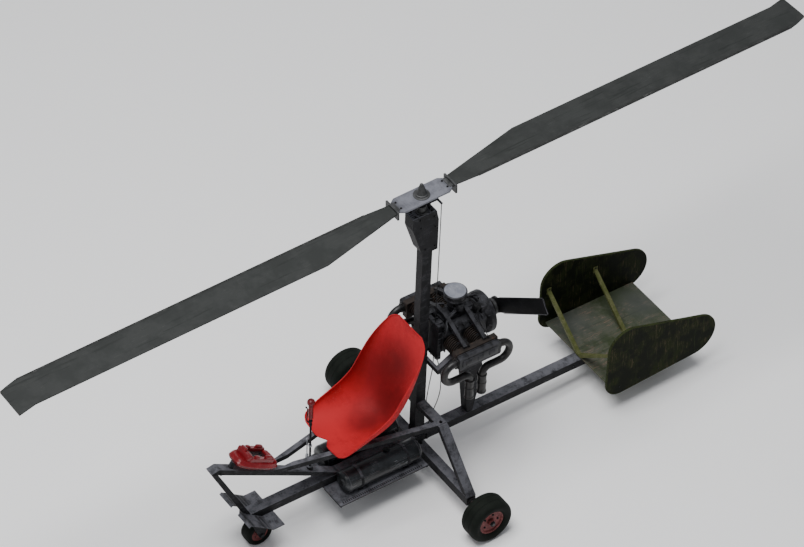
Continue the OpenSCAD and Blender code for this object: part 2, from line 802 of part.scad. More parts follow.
module bell_housing() {
    color(engine_grey) keel_frame() translate([0, engine_rear, crank_z])
        rotate([-90, 0, 0]) difference() {
            rotate_extrude($fn = 96)
                polygon([[0, 0], [140, 0], [162, 30], [162, 70], [90, 92], [60, 96], [60, 120],
                         [0, 120]]);
            translate([0, 0, 60]) cylinder(h = 80, d = prop_shaft_d + 2 * run_fit, $fn = 64);
        }
}

post_foot = 46;
post_aft = 419;

module engine_post() {
    top = crank_z - 112;
    color(frame_grey) keel_frame() side_slab(-nose_w / 2, nose_w / 2,
        [[post_aft, keel_top], [post_aft + post_foot, keel_top],
         [post_aft + post_foot + 80, keel_top + 380], [engine_rear - 20, top],
         [engine_rear - 150, top], [post_aft - 40, keel_top + 380]]);
}

bearer_z = crank_z - 240;

module engine_bearers() {
    color(frame_grey) keel_frame() difference() {
        union() {
            block([-170, mast_rear, bearer_z], [170, mast_rear + 24, bearer_z + 40]);
            for (side = [-1, 1]) {
                x0 = side > 0 ? 130 : -170;
                side_slab(x0, x0 + 40,
                    [[mast_rear, bearer_z], [mast_rear + 24, bearer_z],
                     [engine_aft + 14, crank_z - 110], [engine_aft + 14, crank_z - 40],
                     [engine_aft - 14, crank_z - 40], [engine_aft - 14, crank_z - 86],
                     [mast_rear, bearer_z + 40]]);
                block([side > 0 ? 100 : -170, engine_aft - 14, crank_z - 70],
                      [side > 0 ? 170 : -100, engine_aft + 14, crank_z - 40]);
            }
        }
        engine_outline();
        for (side = [-1, 1]) for (end = [-1, 1])
            x_rod(side > 0 ? block_half : -head_plate, side > 0 ? head_plate : -block_half,
                  engine_aft + end * bore_pitch / 2, crank_z, fin_d + 4);
    }
}

// The engine block's outline in the keel frame, for what is fitted against it
module engine_outline() {
    front_slab(engine_front, engine_rear,
        [[-120, crank_z - 82], [-70, crank_z - 112], [70, crank_z - 112], [120, crank_z - 82],
         [block_half, crank_z - 60], [block_half, crank_z + 60], [-block_half, crank_z + 60],
         [-block_half, crank_z - 60]]);
}

// ---- Propeller ----

prop_shaft_d = 40;
prop_y = engine_rear + 160;

module prop_hub() {
    color(frame_grey) keel_frame() translate([0, 0, crank_z]) rotate([-90, 0, 0]) {
        translate([0, 0, engine_rear + 62]) cylinder(h = prop_y - engine_rear - 62 - 30,
                                                     d = prop_shaft_d, $fn = 64);
        translate([0, 0, prop_y - 30]) cylinder(h = 18, d = 130, $fn = 64);
        translate([0, 0, prop_y + 12]) cylinder(h = 14, d = 130, $fn = 64);
        translate([0, 0, prop_y + 26]) cylinder(h = 16, d = 44, $fn = 64);
    }
}

module propeller() {
    half = prop_d / 2;
    t = 20;
    color([0.07, 0.07, 0.08]) keel_frame() translate([0, prop_y, crank_z])
        rotate([90, 0, 0]) rotate([0, 0, prop_park]) difference() {
            union() {
                cylinder(h = 24, d = 120, center = true, $fn = 64);
                for (turn = [0, 180]) rotate([0, 0, turn]) intersection() {
                    translate([0, 0, -t / 2]) linear_extrude(t)
                        polygon([[0, -34], [120, -36], [210, -prop_chord / 2],
                                 [half - 6, -prop_chord / 2], [half, -prop_chord / 2 + 8],
                                 [half, prop_chord / 2 - 8], [half - 6, prop_chord / 2],
                                 [210, prop_chord / 2], [120, 36], [0, 34]]);
                    rotate([8, 0, 0]) translate([-10, -150, -9]) cube([half + 20, 300, 18]);
                }
            }
            difference() {
                cylinder(h = 60, d = 132, center = true, $fn = 64);
                cylinder(h = 24, d = 400, center = true, $fn = 64);
            }
        }
}

// ---- Tail ----

tail_z = keel_top + tail_t;
fin_x = tail_span / 2;

module tail_plane() {
    color(olive) keel_frame()
        block([-fin_x, tail_aft, keel_top], [fin_x, tail_aft + tail_chord, tail_z]);
}

// The fins' outline is the hull of three circles, drawn as [y, z]
module fin_outline() {
    top = tail_z + tail_fin_h;
    hull() {
        translate([tail_aft + 112, top - 175]) circle(r = 175, $fn = 64);
        translate([tail_aft + tail_chord - 62, tail_z + 155]) circle(r = 188, $fn = 64);
        translate([tail_aft + 72, tail_z + 60]) circle(r = 135, $fn = 64);
    }
}

module tail_fin(side) {
    x0 = side > 0 ? fin_x : -fin_x - tail_fin_t;
    color(olive) keel_frame() translate([x0, 0, 0]) rotate([90, 0, 90])
        linear_extrude(tail_fin_t) fin_outline();
}

strut_rise = 333;

module tail_struts() {
    color(olive_strut) keel_frame() intersection() {
        for (y = [tail_aft + 10, tail_aft + 440]) for (side = [-1, 1])
            front_slab(y - 16, y + 16,
                [[0, tail_z - 10], [side * 20, tail_z - 14],
                 [side * (fin_x + 10), tail_z + strut_rise - 14],
                 [side * (fin_x + 10), tail_z + strut_rise], [0, tail_z + 6]]);
        block([-fin_x, tail_aft - 100, tail_z], [fin_x, tail_aft + tail_chord, tail_z + 500]);
    }
}

// ---- Rotor ----

module rotor_frame() {
    translate([0, 0, rotor_z]) children();
}

module rotor_shaft() {
    color(hub_grey) rotor_frame()
        translate([0, 0, -rotor_lift - bearing_sink + 5])
            cylinder(h = rotor_lift + bearing_sink - 5, d = rotor_shaft_d, $fn = 64);
}

module hub_plate() {
    half = hub_plate_len / 2;
    side = hub_plate_w / 2;
    color(hub_grey) rotor_frame() linear_extrude(hub_plate_t)
        polygon([for (s = [[1, 1], [-1, 1], [-1, -1], [1, -1]])
                    each (s[0] == s[1]
                        ? [[s[0] * side, s[1] * (half - 36)], [s[0] * (side - 24), s[1] * half]]
                        : [[s[0] * (side - 24), s[1] * half], [s[0] * side, s[1] * (half - 36)]])]);
}

module hub_cone() {
    color(hub_grey) rotor_frame() translate([0, 0, hub_plate_t])
        rotate_extrude($fn = 64)
            polygon([[0, 0], [52, 0], [52, 8], [42, 10], [36, 26], [12, 100], [6, 106], [0, 108]]);
}

// Each cuff is a stirrup whose plate clamps the blade's root on the end of the hub plate
module blade_cuffs() {
    half = hub_plate_len / 2;
    color(hub_grey) rotor_frame() for (side = [-1, 1]) {
        y0 = side > 0 ? half : -blade_root_r;
        y1 = side > 0 ? blade_root_r : -half;
        block([-40, y0, 0], [40, y1, hub_plate_t]);
        block([-75, side > 0 ? blade_root_r - 14 : -blade_root_r, -42],
              [75, side > 0 ? blade_root_r : -blade_root_r + 14, 32]);
    }
}

// One blade, its root on the rotor axis' +Y side and its trailing edge towards -X
module blade() {
    lead = blade_chord * 0.22;
    trail = lead - blade_chord;
    tip = rotor_d / 2;
    knee = tip - blade_tip_len;
    outline = [[42, blade_root_r], [lead, blade_root_r + 177], [lead, knee],
               [lead - 47, tip], [trail - 29, tip], [trail, knee],
               [trail, blade_root_r + 663], [-64, blade_root_r]];
    intersection() {
        linear_extrude(blade_t) polygon(outline);
        rotate([-90, 0, 0]) linear_extrude(tip + 10)
            polygon([[lead, -blade_t / 2], [lead - 30, -blade_t], [lead - 90, -blade_t],
                     [trail - 30, -blade_t / 2], [trail - 30, 0], [lead - 20, 0]]);
    }
}

module blade_front() {
    color(blade_grey) rotor_frame() rotate([0, 0, 180]) blade();
}

module blade_rear() {
    color(blade_grey) rotor_frame() blade();
}

// ---- Cables ----

cable_d = 7;
cable_step = 18;

// Chosen points of each route, in the keel frame
mast_cable_route = [[50, 84, 2359.7], [51, 84, 2250], [52, 83, 2120], [53, 82, 1990],
                    [54, 81, 1860], [54, 80, 1730], [54, 79, 1600], [54, 78, 1480],
                    [54, 78, 1360], [54, 78, 1237.3]];
throttle_route = [[62, 70, 911.7], [62, 70, 860], [62, 69, 800], [60, 60, 720], [58, 46, 620],
                  [58, 34, 530], [58, 28, 460.3]];
brake_route = [[76, 74, 911.7], [92, 92, 850], [104, 106, 760], [108, 112, 660],
               [106, 110, 560], [94, 98, 460], [76, 84, 370], [52, 70, 260], [34, 64, 160],
               [30, 62, 119.3]];

function route_point(route, i) = route[max(0, min(len(route) - 1, i))];

// The route's points with smooth ones between them, about a cable step apart
function smooth_route(route) = [
    for (i = [0:len(route) - 2])
        let (a = route_point(route, i - 1), b = route[i], c = route[i + 1],
             d = route_point(route, i + 2), n = max(1, round(norm(c - b) / cable_step)))
        for (k = [0:n - 1]) catmull(a, b, c, d, k / n),
    route[len(route) - 1]];

module cable(route) {
    sides = 8;
    line = smooth_route(route);
    n = len(line);
    rings = [for (p = line) for (k = [0:sides - 1])
                 p + cable_d / 2 * [cos(k * 360 / sides), sin(k * 360 / sides), 0]];
    color(tyre_black) keel_frame() polyhedron(points = rings, faces = concat(
        [[for (k = [0:sides - 1]) k]],
        [[for (k = [sides - 1:-1:0]) (n - 1) * sides + k]],
        [for (i = [0:n - 2]) for (k = [0:sides - 1])
            [i * sides + k, (i + 1) * sides + k, (i + 1) * sides + (k + 1) % sides,
             i * sides + (k + 1) % sides]]));
}

keel();
mast();
mast_head();
rotor_bearing();
nose_riser();
nose_beam();
side_rail(1);  // side_rail_left
side_rail(-1);  // side_rail_right
cross_arms();
gear_strut(1);  // gear_strut_left
gear_strut(-1);  // gear_strut_right
axle_beam();
main_axles();
floor_plate();
tank(1);  // tank_left
tank(-1);  // tank_right
tank_saddles();
seat();
seat_brackets();
foot_rest();
instrument_pod();
pod_post();
control_stick();
stick_grip();
pitch_lever();
engine_block();
engine_front_case();
cylinders(1);  // cylinders_left
cylinders(-1);  // cylinders_right
valve_cover(1);  // valve_cover_left
valve_cover(-1);  // valve_cover_right
exhaust(1);  // exhaust_left
exhaust(-1);  // exhaust_right
intake();
air_filter();
engine_post();
engine_bearers();
bell_housing();
tail_plane();
tail_fin(1);  // tail_fin_left
tail_fin(-1);  // tail_fin_right
tail_struts();
rotor_shaft();
hub_plate();
hub_cone();
blade_cuffs();
blade_front();
blade_rear();
prop_hub();
propeller();
main_tyre(1);  // main_tyre_left
main_rim(1);  // main_rim_left
main_tyre(-1);  // main_tyre_right
main_rim(-1);  // main_rim_right
nose_fork();
nose_tyre();
nose_rim();
cable(mast_cable_route);  // mast_cable
cable(throttle_route);  // throttle_cable
cable(brake_route);  // brake_cable
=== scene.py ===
"""Looks of an open-frame gyrocopter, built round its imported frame.

Lengths in the builders are millimetres. Most pieces are drawn in the keel's own frame, whose
origin is the middle of the main axle, with Y along the keel and Z square to it; the rotor's
pieces are drawn in the row frame. Every finished mesh lies in the row frame, in metres.
"""

import json
import logging
import math
from dataclasses import dataclass
from enum import Enum
from typing import Any, Iterable, Sequence

import bmesh
import bpy
from mathutils import Matrix, Vector


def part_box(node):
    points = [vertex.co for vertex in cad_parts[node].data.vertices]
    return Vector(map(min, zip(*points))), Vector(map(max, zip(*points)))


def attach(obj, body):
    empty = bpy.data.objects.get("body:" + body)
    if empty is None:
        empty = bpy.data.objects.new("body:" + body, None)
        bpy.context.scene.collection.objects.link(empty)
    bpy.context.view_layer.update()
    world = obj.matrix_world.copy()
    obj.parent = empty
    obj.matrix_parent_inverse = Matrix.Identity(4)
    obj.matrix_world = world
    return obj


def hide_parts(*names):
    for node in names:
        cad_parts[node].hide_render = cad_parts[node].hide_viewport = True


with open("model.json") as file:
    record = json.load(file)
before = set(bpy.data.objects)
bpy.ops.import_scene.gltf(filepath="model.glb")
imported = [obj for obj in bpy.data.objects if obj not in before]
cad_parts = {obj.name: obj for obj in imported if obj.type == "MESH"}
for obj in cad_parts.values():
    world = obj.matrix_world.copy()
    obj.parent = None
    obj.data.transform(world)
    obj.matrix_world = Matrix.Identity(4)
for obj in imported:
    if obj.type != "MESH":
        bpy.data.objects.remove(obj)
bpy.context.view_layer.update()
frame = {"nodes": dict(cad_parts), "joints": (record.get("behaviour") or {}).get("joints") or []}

LOG = logging.getLogger("gyrocopter")
MM = 0.001
AIRFRAME = "airframe"
CREASE = 34.0
UP = (0, 0, 1)
DOWN = (0, 0, -1)
SIDES = (-1, 1)
AXLE_BORE = 12.1

Colour = tuple[float, float, float]
Point = tuple[float, float, float]


# ---------------------------------------------------------------- places


class Datum:
    """The keel's frame and the boxes of CAD nodes in it."""

    def __init__(self) -> None:
        """Reads the keel's slope and the main axle's place from the joints."""
        joints = {joint["name"]: joint for joint in frame["joints"]}
        aft = Vector(joints["propeller_spin"]["axis"]).normalized()
        up = Vector((1.0, 0.0, 0.0)).cross(aft)
        axle = Vector(joints["left_wheel_spin"]["pos_m"])
        turn = Matrix(((1.0, aft.x, up.x), (0.0, aft.y, up.y), (0.0, aft.z, up.z))).to_4x4()
        self.keel = Matrix.Translation((0.0, axle.y, axle.z)) @ turn @ Matrix.Scale(MM, 4)
        self.row = Matrix.Scale(MM, 4)
        self._into_keel = self.keel.inverted()

    def box(self, node: str) -> tuple[Vector, Vector]:
        """Finds a node's extent in the keel's frame.

        Args:
            node: The CAD node's name.

        Returns:
            The lowest and the highest corner, in millimetres.
        """
        points = [self._into_keel @ v.co for v in frame["nodes"][node].data.vertices]
        low = Vector(min(p[i] for p in points) for i in range(3))
        high = Vector(max(p[i] for p in points) for i in range(3))
        return low, high

    @staticmethod
    def row_box(node: str) -> tuple[Vector, Vector]:
        """Returns a node's lowest and highest corner in the row frame, in millimetres."""
        low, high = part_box(node)
        return low / MM, high / MM


DATUM = Datum()


def pointing(at: Sequence[float], along: Sequence[float]) -> Matrix:
    """Makes a placing matrix.

    Args:
        at: Where the local origin goes.
        along: Where the local Z axis points.

    Returns:
        A rigid transform.
    """
    turn = Vector(along).to_track_quat("Z", "Y").to_matrix().to_4x4()
    return Matrix.Translation(Vector(at)) @ turn


def polar(radius: float, turn: float, middle: Sequence[float] = (0.0, 0.0)) -> tuple[float, float]:
    """Returns the point at a radius and an angle, in radians, round a middle."""
    return middle[0] + radius * math.cos(turn), middle[1] + radius * math.sin(turn)


def across(x: float, y: float, z: float, side: int = 1) -> Matrix:
    """Returns a placing matrix whose local Z axis is +X or -X of the frame."""
    return pointing((x, y, z), (side, 0.0, 0.0))


# ---------------------------------------------------------------- node trees


class Wire:
    """A socket that Python arithmetic writes Math nodes on."""

    def __init__(self, kit: "TreeKit", socket: bpy.types.NodeSocket) -> None:
        """Keeps the socket and the tree it is in."""
        self.kit = kit
        self.socket = socket

    def _math(self, operation: str, first: Any, second: Any = 0.0) -> "Wire":
        """Adds one Math node and returns its output."""
        return self.kit.node("ShaderNodeMath", {"operation": operation}, {0: first, 1: second})

    def __add__(self, other: Any) -> "Wire":
        """Returns the sum."""
        return self._math("ADD", self, other)

    __radd__ = __add__

    def __sub__(self, other: Any) -> "Wire":
        """Returns the difference."""
        return self._math("SUBTRACT", self, other)

    def __rsub__(self, other: Any) -> "Wire":
        """Returns the difference, turned round."""
        return self._math("SUBTRACT", other, self)

    def __mul__(self, other: Any) -> "Wire":
        """Returns the product."""
        return self._math("MULTIPLY", self, other)

    __rmul__ = __mul__

    def __truediv__(self, other: Any) -> "Wire":
        """Returns the quotient."""
        return self._math("DIVIDE", self, other)

    def size(self) -> "Wire":
        """Returns the value without its sign."""
        return self._math("ABSOLUTE", self)

    def power(self, exponent: float) -> "Wire":
        """Returns the value raised to a power."""
        return self._math("POWER", self, exponent)

    def rise(self, low: float, high: float) -> "Wire":
        """Makes a smooth step.

        Args:
            low: The value at which the step starts.
            high: The value at which it ends. It may be under low, for a step that falls.

        Returns:
            A value from 0 to 1.
        """
        if low > high:
            return 1.0 - self.rise(high, low)
        return self.kit.node(
            "ShaderNodeMapRange",
            {"interpolation_type": "SMOOTHSTEP"},
            {"Value": self, "From Min": low, "From Max": high},
        )


class TreeKit:
    """Adds nodes to one shader or geometry tree."""

    def __init__(self, tree: bpy.types.NodeTree) -> None:
        """Keeps the tree."""
        self.tree = tree

    def add(self, kind: str, settings: dict[str, Any], values: dict[Any, Any]) -> bpy.types.Node:
        """Adds a node.

        Args:
            kind: The node's type.
            settings: The node's own settings, which are set first.
            values: The values or wires of its inputs, by name or number.

        Returns:
            The node.
        """
        node = self.tree.nodes.new(kind)
        for name, value in settings.items():
            setattr(node, name, value)
        for name, value in values.items():
            if isinstance(value, Wire):
                self.tree.links.new(value.socket, node.inputs[name])
            else:
                node.inputs[name].default_value = value
        return node

    def node(
        self, kind: str, settings: dict[str, Any], values: dict[Any, Any], output: Any = 0
    ) -> Wire:
        """Adds a node and returns one of its outputs as a wire."""
        return Wire(self, self.add(kind, settings, values).outputs[output])

    def mix(self, first: Any, second: Any, share: Any) -> Wire:
        """Blends two colours.

        Args:
            first: The colour at share 0, as three numbers or a wire.
            second: The colour at share 1.
            share: A number or a wire.

        Returns:
            The blended colour.
        """
        values = {0: share}
        for slot, colour in ((6, first), (7, second)):
            values[slot] = colour if isinstance(colour, Wire) else (*colour, 1.0)
        return self.node("ShaderNodeMix", {"data_type": "RGBA"}, values, 2)

    def noise(
        self, at: Wire, size: float, detail: float = 4.0, rough: float = 0.55, stretch: Point = (1, 1, 1)
    ) -> Wire:
        """Makes a noise value.

        Args:
            at: The coordinates, in metres.
            size: The size of its largest patches, in metres.
            detail: How many finer layers it has.
            rough: How strong those layers are.
            stretch: How many times longer the patches are along each axis.

        Returns:
            A value around 0.5.
        """
        scale = tuple(1.0 / part for part in stretch)
        spot = self.node("ShaderNodeVectorMath", {"operation": "MULTIPLY"}, {0: at, 1: scale})
        return self.node(
            "ShaderNodeTexNoise",
            {},
            {"Vector": spot, "Scale": 1.0 / size, "Detail": detail, "Roughness": rough},
            "Fac",
        )


# ---------------------------------------------------------------- finishes


class Grain(Enum):
    """The direction in which streaks and scratches run."""

    NONE = (1.0, 1.0, 1.0)
    ACROSS = (14.0, 1.0, 1.0)
    ALONG = (1.0, 14.0, 1.0)
    UPRIGHT = (1.0, 1.0, 14.0)


@dataclass(frozen=True)
class Finish:
    """A worn surface: a mottled coat with streaks, scratches, soft tone patches (painted shade on the seat),
    rust, and dust mixed with painted top light over it.

    Shares run from 0 for none to 1 for everywhere, and sizes are metres.
    """

    name: str
    slot: str
    base: Colour
    mottle: Colour
    mottle_size: float = 0.09
    mottle_share: float = 0.5
    streak: Colour = (0.0, 0.0, 0.0)
    streak_share: float = 0.0
    streak_size: float = 0.02
    grain: Grain = Grain.NONE
    scratch: Colour = (0.3, 0.3, 0.3)
    scratch_share: float = 0.0
    dust_and_top_light: Colour = (0.09, 0.09, 0.10)
    dust_and_top_light_share: float = 0.0
    rust: Colour = (0.10, 0.045, 0.025)
    rust_share: float = 0.0
    rust_size: float = 0.05
    patch_tone: Colour = (0.0, 0.0, 0.0)
    tone_patches: tuple[tuple[Point, float], ...] = ()
    smooth: float = 0.35
    rough: float = 0.6
    metal: float = 0.0
    coat: float = 0.0
    shine: float = 0.25
    bump: float = 0.15
    bump_size: float = 0.004

    def material(self) -> bpy.types.Material:
        """Returns the finish's material, made on first use."""
        name = "worn_" + self.name
        found = bpy.data.materials.get(name)
        if found is not None:
            return found
        made = bpy.data.materials.new(name)
        made.use_nodes = True
        made.node_tree.nodes.clear()
        self._draw(TreeKit(made.node_tree))
        return made

    def _draw(self, kit: TreeKit) -> None:
        """Writes the whole tree."""
        spot = kit.node("ShaderNodeTexCoord", {}, {}, "Object")
        fine = kit.noise(spot, self.bump_size, 3.0)
        broad = kit.noise(spot, self.mottle_size, 6.0, 0.62)
        speck = kit.noise(spot, self.mottle_size * 0.17, 5.0, 0.65)
        half = 0.5 + (0.5 - self.mottle_share) * 0.35
        patches = (broad * 0.75 + speck * 0.25).rise(half - 0.09, half + 0.09)
        colour = kit.mix(self.base, self.mottle, patches)
        height = fine * 0.5
        gloss = fine * 0.35 + patches * 0.3 + speck * 0.35
        if self.streak_share:
            lines = kit.noise(spot, self.streak_size, 4.0, 0.6, self.grain.value)
            start = 0.72 - 0.3 * self.streak_share
            runs = lines.rise(start, start + 0.12)
            colour = kit.mix(colour, self.streak, runs * 0.85)
            gloss = gloss + runs * 0.15
        if self.scratch_share:
            colour, marks = self._scratches(kit, spot, colour, broad)
            height = height - marks * 0.4
        # Soft patches of another tone round given points; on the seat they are painted shade, darkening the
        # back and the pan where shadow falls, with some smudging mixed in.
        for centre, reach in self.tone_patches:
            away = kit.node("ShaderNodeVectorMath", {"operation": "DISTANCE"}, {0: spot, 1: centre}, 1)
            dark = (away + (broad - 0.5) * reach * 1.1).rise(reach, 0.0)
            colour = kit.mix(colour, self.patch_tone, dark * 0.75)
        # Upward faces take a pale colour in mottled patches: partly settled dust, partly painted light
        # falling from above on the tops.
        if self.dust_and_top_light_share:
            facing = kit.node("ShaderNodeTexCoord", {}, {}, "Normal")
            upward = kit.node("ShaderNodeSeparateXYZ", {}, {0: facing}, 2).rise(0.35, 0.9)
            dust_and_top_light_mask = upward * (broad * 0.7 + speck * 0.3).rise(0.28, 0.6) * self.dust_and_top_light_share
            colour = kit.mix(colour, self.dust_and_top_light, dust_and_top_light_mask)
            gloss = gloss + dust_and_top_light_mask * 0.3
        if self.rust_share:
            bloom = kit.noise(spot, self.rust_size, 7.0, 0.68)
            start = 0.74 - 0.38 * self.rust_share
            rusty = bloom.rise(start, start + 0.08)
            tint = kit.mix(self.rust, tuple(part * 2.2 for part in self.rust), speck)
            colour = kit.mix(colour, tint, rusty * 0.9)
            height = height + rusty * speck * 0.8
            gloss = gloss + rusty * 0.5
        bumped = kit.node(
            "ShaderNodeBump", {}, {"Height": height, "Strength": self.bump, "Distance": 0.002}
        )
        shader = kit.node(
            "ShaderNodeBsdfPrincipled",
            {},
            {
                "Base Color": colour,
                "Roughness": gloss * (self.rough - self.smooth) + self.smooth,
                "Metallic": self.metal,
                "Specular IOR Level": self.shine,
                "Coat Weight": self.coat,
                "Coat Roughness": 0.12,
                "Normal": bumped,
            },
        )
        kit.add("ShaderNodeOutputMaterial", {}, {"Surface": shader})

    def _scratches(self, kit: TreeKit, spot: Wire, colour: Wire, broad: Wire) -> tuple[Wire, Wire]:
        """Lays fine scratches over a colour.

        Args:
            kit: The tree.
            spot: The coordinates.
            colour: What the scratches cut through.
            broad: A slow noise that gathers them in places.

        Returns:
            The new colour, and where the scratches are.
        """
        long_way = tuple(1.0 if part == 1.0 else part * 3.0 for part in self.grain.value)
        hair = kit.noise(spot, 0.012, 2.0, 0.5, long_way)
        width = 0.006 + 0.012 * self.scratch_share
        marks = (hair - 0.5).size().rise(width, width * 0.4) * broad.rise(0.42, 0.6)
        return kit.mix(colour, self.scratch, marks * 0.8), marks


# The pale bluish colour on the frame's upward faces is partly dust and partly painted top light on the
# tubes' tops.
FRAME = Finish(
    "frame_paint", "frame_paint", (0.009, 0.009, 0.010), (0.018, 0.018, 0.020), 0.07, 0.5,
    scratch=(0.10, 0.10, 0.11), scratch_share=0.25, grain=Grain.ALONG,
    dust_and_top_light=(0.135, 0.137, 0.155), dust_and_top_light_share=0.95, rust=(0.035, 0.028, 0.024), rust_share=0.10,
    smooth=0.45, rough=0.75, shine=0.12, bump=0.25,
)
HUB = Finish(
    "hub_metal", "hub_metal", (0.115, 0.118, 0.138), (0.17, 0.174, 0.20), 0.13, 0.5,
    streak=(0.06, 0.06, 0.065), streak_share=0.3, streak_size=0.006, grain=Grain.ALONG,
    patch_tone=(0.025, 0.026, 0.028), tone_patches=(((0.0, -0.23, 2.65), 0.10), ((0.0, 0.23, 2.65), 0.10)),
    smooth=0.38, rough=0.6, metal=0.25, bump=0.12,
)
DARK = Finish(
    "dark_metal", "hub_metal", (0.030, 0.031, 0.031), (0.055, 0.056, 0.056), 0.05, 0.5,
    dust_and_top_light=(0.085, 0.086, 0.09), dust_and_top_light_share=0.4, rust=(0.05, 0.035, 0.028), rust_share=0.15,
    smooth=0.35, rough=0.6, metal=0.3, bump=0.15,
)
BOLT = Finish(
    "bolt_steel", "hub_metal", (0.020, 0.020, 0.021), (0.010, 0.010, 0.011), 0.02, 0.5,
    rust=(0.05, 0.03, 0.02), rust_share=0.3, rust_size=0.01, smooth=0.4, rough=0.65, metal=0.15, shine=0.2,
)
BLADE = Finish(
    "blade_paint", "blade_paint", (0.025, 0.027, 0.026), (0.032, 0.034, 0.033), 0.22, 0.5,
    streak=(0.019, 0.021, 0.020), streak_share=0.5, streak_size=0.03, grain=Grain.ALONG,
    scratch=(0.048, 0.05, 0.048), scratch_share=0.15, shine=0.15, smooth=0.5, rough=0.72, bump=0.15,
)
# The leading strips' darker tone is painted shade standing for the shaded leading-edge bevel; the pale
# scratches are wear.
EDGE = Finish(
    "blade_edge", "blade_paint", (0.016, 0.017, 0.016), (0.03, 0.031, 0.03), 0.06, 0.4,
    scratch=(0.12, 0.12, 0.12), scratch_share=0.5, grain=Grain.ALONG, smooth=0.4, rough=0.6,
)
SEAT = Finish(
    "seat_shell", "seat_shell", (0.52, 0.020, 0.025), (0.40, 0.014, 0.018), 0.30, 0.45,
    streak=(0.26, 0.010, 0.013), streak_share=0.18, streak_size=0.05, grain=Grain.UPRIGHT,
    # The seat's dark soft patches are painted shade on the back and the pan, with some smudging mixed in.
    scratch=(0.60, 0.08, 0.08), scratch_share=0.08, patch_tone=(0.11, 0.006, 0.007),
    tone_patches=(
        ((-0.12, -0.24, 0.95), 0.40), ((0.03, -0.47, 0.66), 0.24), ((0.0, -0.32, 0.74), 0.26),
        ((0.16, -0.25, 0.86), 0.24), ((0.0, -0.20, 1.10), 0.30),
    ),
    smooth=0.5, rough=0.65, shine=0.12, bump=0.05, bump_size=0.002,
)
POD = Finish(
    "pod_shell", "pod_shell", (0.17, 0.006, 0.010), (0.22, 0.010, 0.014), 0.10, 0.4,
    scratch=(0.30, 0.05, 0.05), scratch_share=0.04, grain=Grain.ACROSS, smooth=0.16, rough=0.36,
    coat=0.22, shine=0.3, bump=0.05, bump_size=0.002,
)
GRIP = Finish(
    "grip_paint", "grip_paint", (0.20, 0.008, 0.011), (0.10, 0.006, 0.008), 0.03, 0.5,
    smooth=0.25, rough=0.5, coat=0.2, bump=0.1, bump_size=0.002,
)
TAIL = Finish(
    "tail_paint", "tail_paint", (0.030, 0.044, 0.012), (0.072, 0.078, 0.052), 0.16, 0.5,
    streak=(0.022, 0.032, 0.010), streak_share=0.5, streak_size=0.03, grain=Grain.ALONG,
    scratch=(0.30, 0.17, 0.12), scratch_share=0.8, dust_and_top_light=(0.070, 0.076, 0.066), dust_and_top_light_share=0.35,
    patch_tone=(0.058, 0.062, 0.060), tone_patches=(((-0.30, 1.60, 0.25), 0.34), ((-0.20, 2.15, 0.24), 0.30)),
    smooth=0.5, rough=0.75, bump=0.2,
)
# The tail's own olive paint made about ten times darker for the upright fins: painted shade on their side
# faces; the streaks and scratches over it are wear.
SHADED_FIN = Finish(
    "fin_paint_painted_shade", "tail_paint", (0.003, 0.0045, 0.0012), (0.012, 0.017, 0.004), 0.13, 0.45,
    streak=(0.020, 0.026, 0.008), streak_share=0.4, streak_size=0.025, grain=Grain.UPRIGHT,
    scratch=(0.10, 0.07, 0.045), scratch_share=0.45, shine=0.1, smooth=0.6, rough=0.85, bump=0.2,
)
FIN_EDGE = Finish(
    "fin_edge", "tail_paint", (0.030, 0.040, 0.012), (0.012, 0.016, 0.005), 0.06, 0.5,
    scratch=(0.16, 0.15, 0.10), scratch_share=0.4, shine=0.1, smooth=0.6, rough=0.8,
)
STRUT = Finish(
    "strut_paint", "strut_paint", (0.068, 0.078, 0.020), (0.095, 0.102, 0.038), 0.05, 0.5,
    streak=(0.035, 0.04, 0.012), streak_share=0.35, streak_size=0.01, grain=Grain.UPRIGHT,
    scratch=(0.24, 0.20, 0.12), scratch_share=0.3, smooth=0.5, rough=0.7,
)
# The pale bluish colour on the tanks' upward faces is mostly a painted highlight from the top light, with a
# little dust.
TANK = Finish(
    "tank_paint", "tank_paint", (0.005, 0.006, 0.007), (0.010, 0.012, 0.014), 0.16, 0.5,
    scratch=(0.30, 0.31, 0.33), scratch_share=0.04, grain=Grain.ALONG,
    dust_and_top_light=(0.045, 0.052, 0.060), dust_and_top_light_share=0.45, smooth=0.22, rough=0.45, coat=0.1, shine=0.4,
    bump=0.08,
)
TYRE = Finish(
    "tyre_rubber", "tyre", (0.0035, 0.005, 0.0035), (0.006, 0.008, 0.006), 0.05, 0.5,
    dust_and_top_light=(0.011, 0.014, 0.011), dust_and_top_light_share=0.4, shine=0.12, smooth=0.6, rough=0.85, bump=0.25,
    bump_size=0.003,
)
RIM = Finish(
    "rim_paint", "rim_paint", (0.20, 0.052, 0.050), (0.11, 0.028, 0.028), 0.025, 0.5,
    rust=(0.05, 0.02, 0.015), rust_share=0.15, rust_size=0.02, smooth=0.45, rough=0.7, bump=0.15,
)
ENGINE = Finish(
    "engine_case", "engine_case", (0.010, 0.010, 0.011), (0.026, 0.026, 0.030), 0.05, 0.5,
    dust_and_top_light=(0.075, 0.076, 0.086), dust_and_top_light_share=0.4, rust=(0.035, 0.025, 0.019), rust_share=0.2,
    rust_size=0.06, smooth=0.28, rough=0.6, metal=0.3, bump=0.35,
)
FINS = Finish(
    "engine_fins", "engine_fins", (0.020, 0.016, 0.014), (0.034, 0.026, 0.022), 0.04, 0.5,
    rust=(0.042, 0.024, 0.016), rust_share=0.4, rust_size=0.035, smooth=0.4, rough=0.7,
    metal=0.2, bump=0.35,
)
